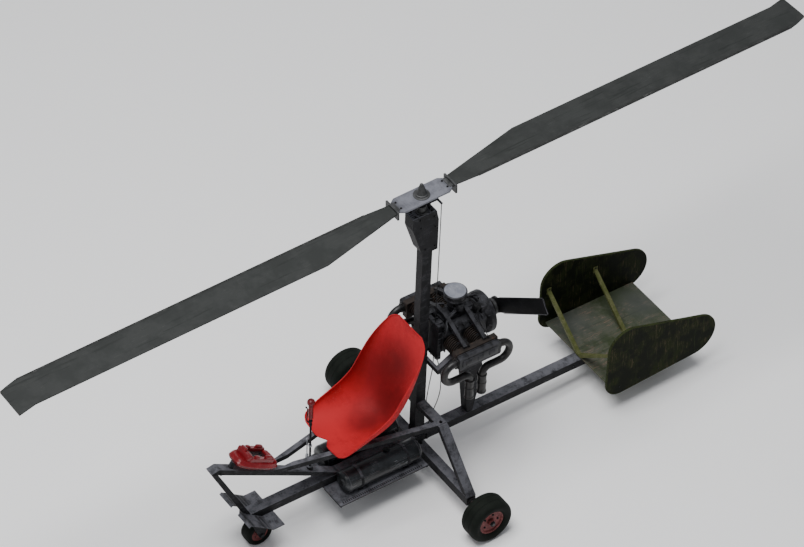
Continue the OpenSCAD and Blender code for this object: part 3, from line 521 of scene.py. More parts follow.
PIPE = Finish(
    "exhaust_metal", "exhaust_metal", (0.012, 0.012, 0.012), (0.030, 0.028, 0.027), 0.05, 0.5,
    dust_and_top_light=(0.055, 0.055, 0.06), dust_and_top_light_share=0.35, rust=(0.035, 0.022, 0.016), rust_share=0.22,
    rust_size=0.04, smooth=0.22, rough=0.5, metal=0.45, shine=0.4, bump=0.2,
)
LID = Finish(
    "filter_lid", "filter_lid", (0.22, 0.23, 0.27), (0.28, 0.29, 0.33), 0.05, 0.5,
    scratch=(0.40, 0.41, 0.45), scratch_share=0.4, grain=Grain.ACROSS,
    rust=(0.10, 0.09, 0.09), rust_share=0.12, rust_size=0.03, smooth=0.35, rough=0.55, metal=0.1,
)
BLACK = Finish(
    "black_plastic", "cable_sleeve", (0.006, 0.006, 0.0065), (0.012, 0.012, 0.013), 0.02, 0.5,
    smooth=0.4, rough=0.6, shine=0.15, bump=0.15, bump_size=0.002,
)
PROP = Finish(
    "prop_paint", "prop_paint", (0.003, 0.003, 0.0035), (0.007, 0.007, 0.008), 0.09, 0.5,
    scratch=(0.08, 0.08, 0.08), scratch_share=0.15, grain=Grain.ACROSS, smooth=0.35, rough=0.6,
    shine=0.12, bump=0.08,
)
PALE = Finish(
    "pale_metal", "hub_metal", (0.38, 0.39, 0.41), (0.26, 0.27, 0.29), 0.03, 0.5,
    rust=(0.12, 0.09, 0.07), rust_share=0.2, rust_size=0.02, smooth=0.3, rough=0.55, metal=0.3,
)
WORN = Finish(
    "worn_edge", "frame_paint", (0.10, 0.10, 0.11), (0.05, 0.05, 0.055), 0.02, 0.5,
    scratch=(0.25, 0.25, 0.26), scratch_share=0.5, grain=Grain.ALONG, smooth=0.35, rough=0.6,
    metal=0.2,
)
DIAL = Finish(
    "dial_face", "cable_sleeve", (0.012, 0.012, 0.013), (0.02, 0.02, 0.022), 0.01, 0.5,
    smooth=0.15, rough=0.25, coat=0.6, bump=0.02, bump_size=0.001,
)
WHITE = Finish(
    "dial_marks", "hub_metal", (0.45, 0.45, 0.43), (0.38, 0.38, 0.36), 0.02, 0.5,
    smooth=0.4, rough=0.6, bump=0.03,
)

CAD_FINISHES: dict[Finish, tuple[str, ...]] = {
    FRAME: (
        "keel", "mast", "mast_head", "nose_riser", "nose_beam", "side_rail_left",
        "side_rail_right", "cross_arms", "gear_strut_left", "gear_strut_right", "axle_beam",
        "floor_plate", "tank_saddles", "seat_brackets", "foot_rest", "pod_post",
        "control_stick", "pitch_lever", "engine_post", "engine_bearers", "nose_fork",
    ),
    HUB: ("hub_plate",),
    DARK: ("rotor_bearing", "main_axles", "rotor_shaft", "hub_cone", "blade_cuffs", "prop_hub"),
    BLADE: ("blade_front", "blade_rear"),
    TANK: ("tank_left", "tank_right"),
    ENGINE: ("engine_block", "engine_front_case", "valve_cover_left", "valve_cover_right",
             "bell_housing", "intake", "air_filter"),
    FINS: ("cylinders_left", "cylinders_right"),
    PIPE: ("exhaust_left", "exhaust_right"),
    TAIL: ("tail_plane",),
    SHADED_FIN: ("tail_fin_left", "tail_fin_right"),
    STRUT: ("tail_struts",),
    RIM: ("main_rim_left", "main_rim_right", "nose_rim"),
}


def dress_frame() -> None:
    """Gives every CAD node that stays its finish."""
    for finish, nodes in CAD_FINISHES.items():
        for node in nodes:
            thing = frame["nodes"][node]
            thing.data.materials.clear()
            thing.data.materials.append(finish.material())


# ---------------------------------------------------------------- solid shapes


def arc(radius: float, start: float, end: float, steps: int, centre: tuple[float, float]) -> list:
    """Returns points round part of a circle, with the angles in degrees."""
    turns = [math.radians(start + (end - start) * i / steps) for i in range(steps + 1)]
    return [(centre[0] + radius * math.cos(t), centre[1] + radius * math.sin(t)) for t in turns]


def round_rectangle(half_x: float, half_y: float, radius: float, steps: int = 4) -> list:
    """Returns the outline of a rectangle with round corners, anticlockwise."""
    radius = min(radius, half_x * 0.999, half_y * 0.999)
    corners = ((1, 1, 0), (-1, 1, 90), (-1, -1, 180), (1, -1, 270))
    points: list = []
    for sx, sy, start in corners:
        centre = (sx * (half_x - radius), sy * (half_y - radius))
        points += arc(radius, start, start + 90, steps, centre)
    return points


class Shape:
    """Closed solids gathered into one mesh, drawn in millimetres."""

    def __init__(self, place: Matrix = DATUM.keel) -> None:
        """Keeps the frame, in metres, that the drawing frame stands in."""
        self.mesh = bmesh.new()
        self.place = place

    def loft(self, rings: Sequence[Sequence[Sequence[float]]], wrap: bool = False) -> "Shape":
        """Skins a row of rings that have the same number of points.

        Args:
            rings: The rings, each a closed loop.
            wrap: Whether the last ring joins the first. If not, both ends are capped.

        Returns:
            The shape itself.
        """
        made = [[self.mesh.verts.new(Vector(p)) for p in ring] for ring in rings]
        count = len(made[0])
        pairs = list(zip(made, made[1:]))
        if wrap:
            pairs.append((made[-1], made[0]))
        for one, two in pairs:
            for i in range(count):
                j = (i + 1) % count
                self.mesh.faces.new((one[i], one[j], two[j], two[i]))
        if not wrap:
            self.mesh.faces.new(list(reversed(made[0])))
            self.mesh.faces.new(made[-1])
        return self

    def lathe(
        self,
        profile: Sequence[tuple[float, float]],
        at: Matrix,
        sides: int = 40,
        ring: bool = False,
    ) -> "Shape":
        """Turns a profile of (radius, height) about the local Z axis.

        Args:
            profile: The points. With ring they close on themselves round a hole.
            at: Where the axis stands.
            sides: How many flats it has.
            ring: Whether the profile closes on itself.

        Returns:
            The shape itself.
        """
        turns = [2 * math.pi * i / sides for i in range(sides)]
        rings = [
            [at @ Vector((max(r, 0.02) * math.cos(t), max(r, 0.02) * math.sin(t), z)) for t in turns]
            for r, z in profile
        ]
        return self.loft(rings, ring)

    def rod(self, start: Sequence[float], end: Sequence[float], radius: float, sides: int = 16) -> "Shape":
        """Adds a round rod with slightly softened ends."""
        along = Vector(end) - Vector(start)
        length, soft = along.length, min(radius * 0.2, along.length * 0.2)
        profile = [(radius - soft, 0), (radius, soft), (radius, length - soft), (radius - soft, length)]
        return self.lathe(profile, pointing(start, along), sides)

    def tube(self, route: Sequence[Sequence[float]], radius: float, sides: int = 10) -> "Shape":
        """Sweeps a round section along a route.

        Args:
            route: The points of its middle line.
            radius: The section's radius.
            sides: How many flats the section has.

        Returns:
            The shape itself.
        """
        points = [Vector(p) for p in route]
        ahead = (points[1] - points[0]).normalized()
        side = ahead.orthogonal().normalized()
        rings = []
        for i, point in enumerate(points):
            before, after = points[max(0, i - 1)], points[min(len(points) - 1, i + 1)]
            ahead = (after - before).normalized()
            side = (side - ahead * side.dot(ahead)).normalized()
            other = ahead.cross(side)
            turns = [2 * math.pi * k / sides for k in range(sides)]
            rings.append([point + (side * math.cos(t) + other * math.sin(t)) * radius for t in turns])
        return self.loft(rings)

    def slab(
        self,
        outline: Sequence[tuple[float, float]],
        low: float,
        high: float,
        at: Matrix = Matrix.Identity(4),
        soft: float = 0.0,
    ) -> "Shape":
        """Raises an outline along the local Z axis, with softened rims.

        Args:
            outline: The points of the outline, anticlockwise.
            low: The height of its underside.
            high: The height of its top.
            at: Where the local frame stands.
            soft: How far the rims are softened.

        Returns:
            The shape itself.
        """
        middle = Vector((sum(p[0] for p in outline), sum(p[1] for p in outline))) / len(outline)
        reach = max((Vector(p) - middle).length for p in outline)
        levels = [(0.0, low), (0.0, high)]
        if soft:
            levels = [(soft, low), (soft * 0.3, low + soft * 0.3), (0.0, low + soft),
                      (0.0, high - soft), (soft * 0.3, high - soft * 0.3), (soft, high)]
        rings = []
        for inset, height in levels:
            keep = 1.0 - inset / reach
            flat = [middle + (Vector(p) - middle) * keep for p in outline]
            rings.append([at @ Vector((p.x, p.y, height)) for p in flat])
        return self.loft(rings)

    def block(self, low: Sequence[float], high: Sequence[float], soft: float = 2.0) -> "Shape":
        """Adds a box between two corners, with rounded upright edges and softened rims."""
        half = (Vector(high) - Vector(low)) / 2
        middle = (Vector(high) + Vector(low)) / 2
        outline = round_rectangle(half.x, half.y, soft, 3)
        return self.slab(outline, -half.z, half.z, Matrix.Translation(middle), soft * 0.8)

    def block_on(
        self,
        side: int,
        x: tuple[float, float],
        low: Sequence[float],
        high: Sequence[float],
        soft: float = 2.0,
    ) -> "Shape":
        """Adds a box on one side of the middle.

        Args:
            side: 1 or -1.
            x: Its inner and outer distance from the middle.
            low: Its lowest y and z.
            high: Its highest y and z.
            soft: How far its edges are softened.

        Returns:
            The shape itself.
        """
        ends = (side * x[0], side * x[1])
        return self.block((min(ends), *low), (max(ends), *high), soft)

    def block_at(self, at: Matrix, half: Sequence[float]) -> "Shape":
        """Adds a softened box of three half-lengths in a placed frame."""
        soft = min(half) * 0.3
        return self.slab(round_rectangle(half[0], half[1], soft, 2), -half[2], half[2], at, soft)

    def object(self, name: str, finish: Finish, crease: float = CREASE) -> bpy.types.Object:
        """Turns the gathered solids into an object with its finish.

        Args:
            name: The object's name.
            finish: What it is finished in.
            crease: The angle, in degrees, past which an edge stays sharp.

        Returns:
            The object, at the origin, with its place in its mesh.
        """
        bmesh.ops.transform(self.mesh, matrix=self.place, verts=self.mesh.verts)
        bmesh.ops.recalc_face_normals(self.mesh, faces=self.mesh.faces)
        data = bpy.data.meshes.new(name)
        self.mesh.to_mesh(data)
        self.mesh.free()
        return show(data, name, finish, crease)

    def put(
        self,
        name: str,
        finish: Finish,
        body: str = AIRFRAME,
        nodes: Sequence[str] = (),
        crease: float = CREASE,
    ) -> bpy.types.Object:
        """Turns the gathered solids into a piece that rides on a body.

        Args:
            name: The piece's name.
            finish: What it is finished in.
            body: The body that carries it.
            nodes: The CAD nodes that it stands for.
            crease: The angle, in degrees, past which an edge stays sharp.

        Returns:
            The piece.
        """
        return settle(self.object(name, finish, crease), body, *nodes)


def show(
    data: bpy.types.Mesh, name: str, finish: Finish, crease: float = CREASE
) -> bpy.types.Object:
    """Links a mesh into the scene, smooth except at its creases, with its finish."""
    data.materials.clear()
    data.materials.append(finish.material())
    data.shade_smooth()
    data.set_sharp_from_angle(angle=math.radians(crease))
    thing = bpy.data.objects.new(name, data)
    bpy.context.scene.collection.objects.link(thing)
    return thing


def settle(thing: bpy.types.Object, body: str, *nodes: str) -> bpy.types.Object:
    """Makes a piece ride on a body, stand for CAD nodes if any are named, and logs it."""
    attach(thing, body)
    if nodes:
        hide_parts(*nodes)
    LOG.info("%s: %d faces on %s", thing.name, len(thing.data.polygons), body)
    return thing


def glide(points: Sequence[Sequence[float]], steps: int) -> list[Vector]:
    """Runs a smooth line through chosen points.

    Args:
        points: The chosen points.
        steps: How many stretches each span is cut in.

    Returns:
        The points of the smooth line.
    """
    held = [Vector(p) for p in points]
    line: list[Vector] = []
    for i in range(len(held) - 1):
        a, b, c = held[max(0, i - 1)], held[i], held[i + 1]
        d = held[min(len(held) - 1, i + 2)]
        for k in range(steps):
            t = k / steps
            line.append(
                0.5 * (2 * b + (c - a) * t + (2 * a - 5 * b + 4 * c - d) * t**2
                       + (3 * b - a - 3 * c + d) * t**3)
            )
    line.append(held[-1])
    return line


# ---------------------------------------------------------------- repeated pieces


class Repeats:
    """Geometry Nodes trees for what repeats: bolts, and small blocks such as slots in a plate."""

    def __init__(self, name: str, inputs: dict[str, float]) -> None:
        """Starts a tree with a geometry input, sizes and a material."""
        self.tree = bpy.data.node_groups.new(name, "GeometryNodeTree")
        self.kit = TreeKit(self.tree)
        face = self.tree.interface
        face.new_socket("Geometry", in_out="INPUT", socket_type="NodeSocketGeometry")
        for label in inputs:
            face.new_socket(label, in_out="INPUT", socket_type="NodeSocketFloat")
        face.new_socket("Material", in_out="INPUT", socket_type="NodeSocketMaterial")
        face.new_socket("Geometry", in_out="OUTPUT", socket_type="NodeSocketGeometry")
        self.inputs = inputs
        self.source = self.tree.nodes.new("NodeGroupInput")

    def given(self, label: str) -> Wire:
        """Returns one of the tree's inputs."""
        return Wire(self.kit, self.source.outputs[label])

    def close(self, made: Wire) -> None:
        """Ends the tree in Realize Instances and Set Material."""
        real = self.kit.node("GeometryNodeRealizeInstances", {}, {"Geometry": made})
        dressed = self.kit.node(
            "GeometryNodeSetMaterial", {}, {"Geometry": real, "Material": self.given("Material")}
        )
        self.kit.add("NodeGroupOutput", {}, {"Geometry": dressed})

    def put(
        self,
        spots: Sequence[Any],
        name: str,
        finish: Finish,
        body: str = AIRFRAME,
        place: Matrix = DATUM.keel,
    ) -> bpy.types.Object:
        """Puts one copy on each spot, as a piece that rides on a body.

        Args:
            spots: Each copy's point and the way that it faces, in the drawing frame.
            name: The piece's name.
            finish: What it is finished in.
            body: The body that carries it.
            place: The drawing frame.

        Returns:
            The piece.
        """
        return settle(self.run(carrier_of(spots, place), name, finish), body)

    def spread(self, item: Wire, pivot: dict[str, str], twist: Wire | None = None) -> None:
        """Stands the item on every point along its facing, and closes the tree.

        Args:
            item: The geometry that is repeated.
            pivot: The align node's settings besides its axis.
            twist: A further turn about the facing.
        """
        kit = self.kit
        way = kit.node("GeometryNodeInputNamedAttribute", {"data_type": "FLOAT_VECTOR"}, {"Name": "facing"})
        turned = kit.node("FunctionNodeAlignRotationToVector", {"axis": "Z", **pivot}, {"Vector": way})
        if twist is not None:
            turned = kit.node(
                "FunctionNodeRotateRotation", {"rotation_space": "LOCAL"}, {0: turned, 1: twist}
            )
        values = {"Points": self.given("Geometry"), "Instance": item, "Rotation": turned}
        self.close(kit.node("GeometryNodeInstanceOnPoints", {}, values))

    def run(self, carrier: bpy.types.Mesh, name: str, finish: Finish) -> bpy.types.Object:
        """Runs the tree on a carrier mesh.

        Args:
            carrier: The mesh whose points carry the copies.
            name: The finished piece's name.
            finish: What it is finished in.

        Returns:
            The finished piece as a plain mesh.
        """
        holder = bpy.data.objects.new(name + "_carrier", carrier)
        bpy.context.scene.collection.objects.link(holder)
        modifier = holder.modifiers.new("repeats", "NODES")
        modifier.node_group = self.tree
        sockets = {
            item.name: item.identifier
            for item in self.tree.interface.items_tree
            if item.item_type == "SOCKET" and item.in_out == "INPUT"
        }
        for label, value in self.inputs.items():
            modifier[sockets[label]] = float(value)
        modifier[sockets["Material"]] = finish.material()
        graph = bpy.context.evaluated_depsgraph_get()
        data = bpy.data.meshes.new_from_object(holder.evaluated_get(graph), depsgraph=graph)
        holder.modifiers.clear()
        bpy.data.objects.remove(holder)
        return show(data, name, finish)


def carrier_of(spots: Sequence[tuple[Sequence[float], Sequence[float]]], place: Matrix) -> bpy.types.Mesh:
    """Makes a mesh of loose points, each with the way that it faces.

    Args:
        spots: Each point and its outward direction, in the drawing frame.
        place: The drawing frame.

    Returns:
        The mesh, in metres in the row frame.
    """
    turn = place.to_3x3().normalized()
    data = bpy.data.meshes.new("carrier")
    data.from_pydata([place @ Vector(at) for at, _ in spots], [], [])
    facing = data.attributes.new("facing", "FLOAT_VECTOR", "POINT")
    for i, (_, way) in enumerate(spots):
        facing.data[i].vector = (turn @ Vector(way)).normalized()
    return data


class Bolts(Repeats):
    """Hexagon bolts with washers, one on each point of the carrier."""

    def __init__(self, name: str, across_flats: float, spin: int = 1) -> None:
        """Writes the tree for bolts of one size.

        Args:
            name: The tree's name.
            across_flats: The head's width over its flats, in millimetres.
            spin: The seed of the heads' random turns.
        """
        head = across_flats * MM / 2 * 1.155
        super().__init__(name, {"Head radius": head, "Head height": head * 1.1, "Washer radius": head * 1.5})
        kit = self.kit
        tall, wide = self.given("Head height"), self.given("Head radius")
        parts = []
        for sides, radius, low, high in (
            (14, self.given("Washer radius"), -0.2, 0.25),
            (6, wide, 0.2, 1.2),
            (10, wide * 0.5, 1.1, 1.5),
        ):
            disc = kit.node(
                "GeometryNodeMeshCylinder",
                {"fill_type": "NGON"},
                {"Vertices": sides, "Radius": radius, "Depth": tall * (high - low)},
            )
            lift = kit.node("ShaderNodeCombineXYZ", {}, {"Z": tall * ((low + high) / 2)})
            parts.append(kit.node("GeometryNodeTransform", {}, {"Geometry": disc, "Translation": lift}))
        joined = kit.add("GeometryNodeJoinGeometry", {}, {})
        for part in parts:
            kit.tree.links.new(part.socket, joined.inputs[0])
        angle = kit.node("FunctionNodeRandomValue", {"data_type": "FLOAT"},
                         {2: 0.0, 3: math.pi / 3, "Seed": spin}, 1)
        twist = kit.node("FunctionNodeAxisAngleToRotation", {}, {"Axis": (0.0, 0.0, 1.0), "Angle": angle})
        self.spread(Wire(kit, joined.outputs[0]), {}, twist)


class Blocks(Repeats):
    """Small blocks, one on each point of the carrier, their height along its facing."""

    def __init__(self, name: str, size: Point) -> None:
        """Writes the tree for blocks of one size, in millimetres."""
        labels = ("Width", "Length", "Height")
        super().__init__(name, {label: value * MM for label, value in zip(labels, size)})
        kit = self.kit
        sides = {i: self.given(label) for i, label in enumerate(labels)}
        extent = kit.node("ShaderNodeCombineXYZ", {}, sides)
        cube = kit.node("GeometryNodeMeshCube", {}, {"Size": extent})
        self.spread(cube, {"pivot_axis": "X"})


# ---------------------------------------------------------------- sub-assemblies


@dataclass
class Cables:
    """The control cables that run down behind the mast."""

    radius: float = 3.4

    ROUTES = {
        "mast_cable": [(50, 84, 2359.7), (51, 84, 2250), (52, 83, 2120), (53, 82, 1990),
                       (54, 81, 1860), (54, 80, 1730), (54, 79, 1600), (54, 78, 1480),
                       (54, 78, 1360), (54, 78, 1237.3)],
        "throttle_cable": [(62, 70, 911.7), (62, 70, 860), (62, 69, 800), (60, 60, 720),
                           (58, 46, 620), (58, 34, 530), (58, 28, 460.3)],
        "brake_cable": [(76, 74, 911.7), (92, 92, 850), (104, 106, 760), (108, 112, 660),
                        (106, 110, 560), (94, 98, 460), (76, 84, 370), (52, 70, 260),
                        (34, 64, 160), (30, 62, 119.3)],
    }

    def build(self) -> None:
        for node, points in self.ROUTES.items():
            line = glide(points, 8)
            shape = Shape().tube(line, self.radius, 10)
            cable = shape.put(node + "_sleeve", BLACK, nodes=(node,), crease=60)
            path = [DATUM.keel @ point for point in line]
            length = sum((b - a).length for a, b in zip(path, path[1:]))


@dataclass
class Seat:
    """The moulded bucket seat with its rolled lip."""

    shell: float = 5.0
    lip: float = 7.0
    half_width: float = 280.0
    notch_depth: float = 46.0
    notch_width: float = 38.0
    notch_rows: int = 10

    # Middle y, middle z, share of the half-width, rim y, rim z
    STATIONS = (
        (-836, 474, 0.80, -834, 502), (-790, 473, 0.95, -806, 532), (-700, 474, 1.00, -704, 586),
        (-600, 476, 1.00, -600, 634), (-500, 481, 1.00, -500, 682), (-400, 497, 1.00, -412, 751),
        (-320, 539, 1.00, -350, 848), (-268, 623, 1.00, -285, 950), (-228, 753, 0.97, -222, 1036),
        (-190, 903, 0.88, -158, 1126), (-150, 1063, 0.74, -118, 1194), (-106, 1238, 0.50, -100, 1234),
    )

    def surface(self, rows: int = 4, half: int = 12) -> list[list[Vector]]:
        """Works out the shell's inner face.

        Args:
            rows: How many rows lie between two stations.
            half: How many steps there are from the middle to a rim.

        Returns:
            The rows of points, from the front edge to the top.
        """
        middles = glide([(0.0, s[0], s[1]) for s in self.STATIONS], rows)
        rims = glide([(s[2] * (self.half_width - self.lip), s[3], s[4]) for s in self.STATIONS], rows)
        grid = []
        for middle, rim in zip(middles, rims):
            row = []
            for k in range(-half, half + 1):
                turn = math.radians(abs(k) / half * 90)
                out, lift = math.sin(turn), 1 - math.cos(turn)
                y = middle.y + (rim.y - middle.y) * lift
                z = middle.z + (rim.z - middle.z) * lift
                row.append(Vector((math.copysign(rim.x * out, k), y, z)))
            grid.append(row)
        for depth, row in enumerate(grid[:self.notch_rows]):
            fade = (1 - depth / self.notch_rows) ** 2
            for point in row:
                dent = math.exp(-((point.x / self.notch_width) ** 2))
                point.y += self.notch_depth * dent * fade
                point.z -= 6 * dent * fade
        return grid

    def build(self) -> None:
        """Builds the shell and its lip."""
        grid = self.surface()
        count = len(grid[0])
        data = bpy.data.meshes.new("seat_surface")
        points = [DATUM.keel @ p for row in grid for p in row]
        quads = [
            (i * count + k, (i + 1) * count + k, (i + 1) * count + k + 1, i * count + k + 1)
            for i in range(len(grid) - 1)
            for k in range(count - 1)
        ]
        data.from_pydata(points, [], quads)
        holder = bpy.data.objects.new("seat_holder", data)
        bpy.context.scene.collection.objects.link(holder)
        wall = holder.modifiers.new("wall", "SOLIDIFY")
        wall.thickness, wall.offset = self.shell * MM, 1.0
        smooth = holder.modifiers.new("smooth", "SUBSURF")
        smooth.levels = smooth.render_levels = 1
        graph = bpy.context.evaluated_depsgraph_get()
        solid = bpy.data.meshes.new_from_object(holder.evaluated_get(graph), depsgraph=graph)
        bpy.data.objects.remove(holder)
        settle(show(solid, "bucket_seat", SEAT, 60), "airframe", "seat")
        edge = grid[0] + [row[-1] for row in grid[1:]] + grid[-1][-2::-1] + [row[0] for row in grid[-2:0:-1]]
        rings = self._round(edge, self.lip / 2 + 1.5)
        lip = Shape().loft(rings, wrap=True)
        lip.put("seat_lip", SEAT, crease=60)

    @staticmethod
    def _round(loop: Sequence[Vector], radius: float, sides: int = 10) -> list[list[Vector]]:
        """Makes the rings of a closed round bead that follows a loop."""
        rings = []
        middle = sum(loop, Vector()) / len(loop)
        for i, point in enumerate(loop):
            ahead = (loop[(i + 1) % len(loop)] - loop[i - 1]).normalized()
            side = (point - middle) - ahead * (point - middle).dot(ahead)
            side.normalize()
            other = ahead.cross(side)
            turns = [2 * math.pi * k / sides for k in range(sides)]
            rings.append([point + (side * math.cos(t) + other * math.sin(t)) * radius for t in turns])
        return rings


@dataclass
class Wheel:
    """A tyre on its rim, with the rim's trim rings and bolts."""

    body: str
    tyre: str
    rim: str
    outward: int
    bolts: int = 5
    bolt_ring: float = 0.62

    def build(self) -> None:
        """Builds the tyre and dresses the rim."""
        low, high = DATUM.box(self.tyre)
        centre = (low + high) / 2
        radius, half = (high.z - low.z) / 2, (high.x - low.x) / 2
        rim_low, rim_high = DATUM.box(self.rim)
        bead = (rim_high.z - rim_low.z) / 2 + 0.5
        at = across(*centre, self.outward or 1)
        shape = Shape().lathe(self._section(radius, half, bead), at, 96, ring=True)
        shape.put(self.tyre + "_rubber", TYRE, self.body, nodes=(self.tyre,), crease=28)
        details = Shape()
        for side in (1, -1) if not self.outward else (self.outward,):
            hub = (rim_high.x - rim_low.x) / 2
            place = across(centre.x, centre.y, centre.z, side)
            disc = hub * 0.62
            details.lathe([(26.5, disc - 4), (bead - 3, disc + 6), (bead - 3, disc + 9),
                           (bead * 0.72, disc + 3), (bead * 0.45, disc + 4), (26.5, disc + 1)],
                          place, 64, ring=True)
            details.lathe([(bead - 4, half * 0.70), (bead + 3, half * 0.73), (bead + 3, half * 0.76),
                           (bead - 6, half * 0.75), (bead - 9, half * 0.70)], place, 64, ring=True)
        details.put(self.rim + "_trim", RIM, self.body)
        spots = []
        for side in (1, -1):
            for i in range(self.bolts):
                turn = 2 * math.pi * i / self.bolts
                reach = bead * self.bolt_ring
                x = centre.x + side * ((rim_high.x - rim_low.x) * 0.31 + 3)
                spots.append(((x, *polar(reach, turn, centre.yz)), (side, 0, 0)))
        tree = Bolts(self.body + "_bolt_tree", 11 if bead > 80 else 7, spin=len(self.body))
        tree.put(spots, self.body + "_bolts", BOLT, self.body)

    @staticmethod
    def _section(radius: float, half: float, bead: float) -> list[tuple[float, float]]:
        """Draws the tyre's section as (radius, offset), closed round its bore."""
        tall = radius - bead
        flat = half * 0.50
        groove, lip = tall * 0.025, half * 0.02
        section = [(bead, -half * 0.70), (bead, half * 0.70), (bead + tall * 0.05, half * 0.80),
                   (bead + tall * 0.10, half * 0.86), (bead + tall * 0.12, half * 0.85)]
        section += [(bead + tall * (0.12 + 0.40 * t), half * (0.86 + 0.14 * math.sin(t * math.pi / 2)))
                    for t in (0.25, 0.5, 0.75, 1.0)]
        shoulder = [(bead + tall * (0.52 + 0.48 * math.sin(math.radians(a))),
                     flat + (half - flat) * math.cos(math.radians(a))) for a in range(12, 91, 13)]
        section += shoulder
        top = bead + tall * 0.997
        for x in (0.30, -0.30):
            place = x * half
            section += [(top, place + lip), (top - groove, place + lip * 0.6),
                        (top - groove, place - lip * 0.6), (top, place - lip)]
        section += [(r, -x) for r, x in reversed(section[2:9 + len(shoulder)])]
        return section


@dataclass
class Pod:
    """The instrument pod on the nose beam, with its two dials and its switches."""

    half_width: float = 106.0
    half_length: float = 192.0
    depth: float = 78.0
    dial: float = 30.0
    sides: int = 56
    squareness: tuple[float, float] = (0.42, 0.55)

    def build(self) -> None:
        """Builds the moulded shell, the dials and the switches."""
        low, high = DATUM.box("instrument_pod")
        beam_low, beam_high = DATUM.box("nose_beam")
        slope = math.atan2(beam_high.z - beam_low.z, beam_high.y - beam_low.y) * 0.985
        middle = (low + high) / 2
        self.at = Matrix.Translation(middle) @ Matrix.Rotation(-slope, 4, "X")
        shell = Shape()
        levels = ((-0.50, 0.80), (-0.46, 0.90), (-0.36, 0.97), (-0.24, 1.0), (-0.16, 1.0),
                  (-0.10, 0.95), (0.08, 0.90), (0.16, 0.84), (0.19, 0.78))
        rings = []
        for height, share in levels:
            ring = []
            for i in range(self.sides):
                t = 2 * math.pi * i / self.sides
                c, s = math.cos(t), math.sin(t)
                x = math.copysign(abs(c) ** self.squareness[0], c) * self.half_width * share
                y = math.copysign(abs(s) ** self.squareness[1], s) * (self.half_length - 90 * (1 - share))
                x *= 1 - 0.16 * max(0.0, -y / self.half_length) ** 2
                ring.append(self.at @ Vector((x, y, height * self.depth)))
            rings.append(ring)
        shell.loft(rings)
        for side in SIDES:
            self._raised(shell, round_rectangle(17, 118, 15, 5), 0.1, 0.56, (side * 64.0, 8.0), 9.0)
            self._raised(shell, round_rectangle(14, 32, 12, 5), 0.4, 0.80, (side * 64.0, 66.0), 8.0)
            self._raised(shell, round_rectangle(15, 22, 12, 5), 0.4, 0.74, (side * 62.0, -40.0), 8.0)
        self._raised(shell, round_rectangle(74, 24, 20, 6), 0.1, 0.74, (0.0, -108.0), 10.0)
        self._raised(shell, round_rectangle(30, 16, 14, 6), 0.5, 0.98, (-22.0, -112.0), 8.0)
        self._raised(shell, round_rectangle(52, 20, 16, 6), 0.1, 0.46, (0.0, 118.0), 8.0)
        shell.put("instrument_pod_shell", POD, nodes=("instrument_pod",), crease=40)
        seam = Shape()
        seam.loft(
            [[p + (p - self.at.translation) * grow + self.at.to_3x3() @ Vector((0, 0, lift))
              for p in rings[3]]
             for grow, lift in ((-0.02, -4.0), (0.004, -3.2), (0.004, -1.0), (-0.02, 0.0))],
            wrap=True,
        )
        seam.put("pod_seam", BLACK)
        self._dials()

    def _raised(
        self,
        shape: Shape,
        outline: list,
        low: float,
        high: float,
        shift: tuple[float, float],
        soft: float,
    ) -> None:
        """Adds a raised pad with soft rims on the pod's top.

        Args:
            shape: The shell.
            outline: The pad's outline.
            low: Its foot, as a share of the pod's depth.
            high: Its top, as a share of the pod's depth.
            shift: Where its middle is on the pod.
            soft: How far its rim is softened.
        """
        place = self.at @ Matrix.Translation((shift[0], shift[1], 0.0))
        shape.slab(outline, low * self.depth, high * self.depth, place, soft)

    def _dials(self) -> None:
        """Adds two dials with marks and needles, and three switches."""
        faces, bezels, marks = Shape(), Shape(), Shape()
        top = 0.27 * self.depth
        panel = self.at @ Matrix.Translation((0.0, 6.0, 0.0))
        faces.slab(round_rectangle(44, 92, 8, 4), 0.12 * self.depth, top, panel, 2.0)
        for x, y in ((-20.0, -44.0), (21.0, -2.0)):
            place = self.at @ Matrix.Translation((x, y, top))
            r = self.dial * 0.66
            faces.lathe([(r, -2.0), (r, 2.4)], place, 32)
            bezels.lathe([(r, -2.0), (r + 3.4, -2.0), (r + 3.4, 4.6), (r + 2.0, 5.6), (r, 4.4)],
                         place, 36, ring=True)
            for i in range(11):
                turn = math.radians(-130 + 26 * i)
                spoke = place @ Matrix.Rotation(turn, 4, "Z") @ Matrix.Translation((0, r * 0.82, 2.5))
                marks.slab(round_rectangle(0.7, 2.2, 0.3, 1), 0.0, 0.5, spoke)
            needle = place @ Matrix.Rotation(math.radians(70 + x), 4, "Z")
            marks.slab([(-1.2, -4), (1.2, -4), (0.4, r * 0.7), (-0.4, r * 0.7)], 2.6, 3.3, needle)
        for i in range(3):
            place = self.at @ Matrix.Translation((-24.0 + 24.0 * i, 62.0, top - 1))
            bezels.lathe([(6.5, 0), (6.5, 3), (4, 4), (0, 4)], place, 20)
            bezels.lathe([(2.2, 3), (2.8, 14), (2.0, 17), (0, 17.5)],
                         place @ Matrix.Rotation(math.radians(-18 + 14 * i), 4, "X"), 14)
        faces.put("dial_faces", DIAL)
        bezels.put("dial_bezels_and_switches", BLACK)
        marks.put("dial_marks_and_needles", WHITE)


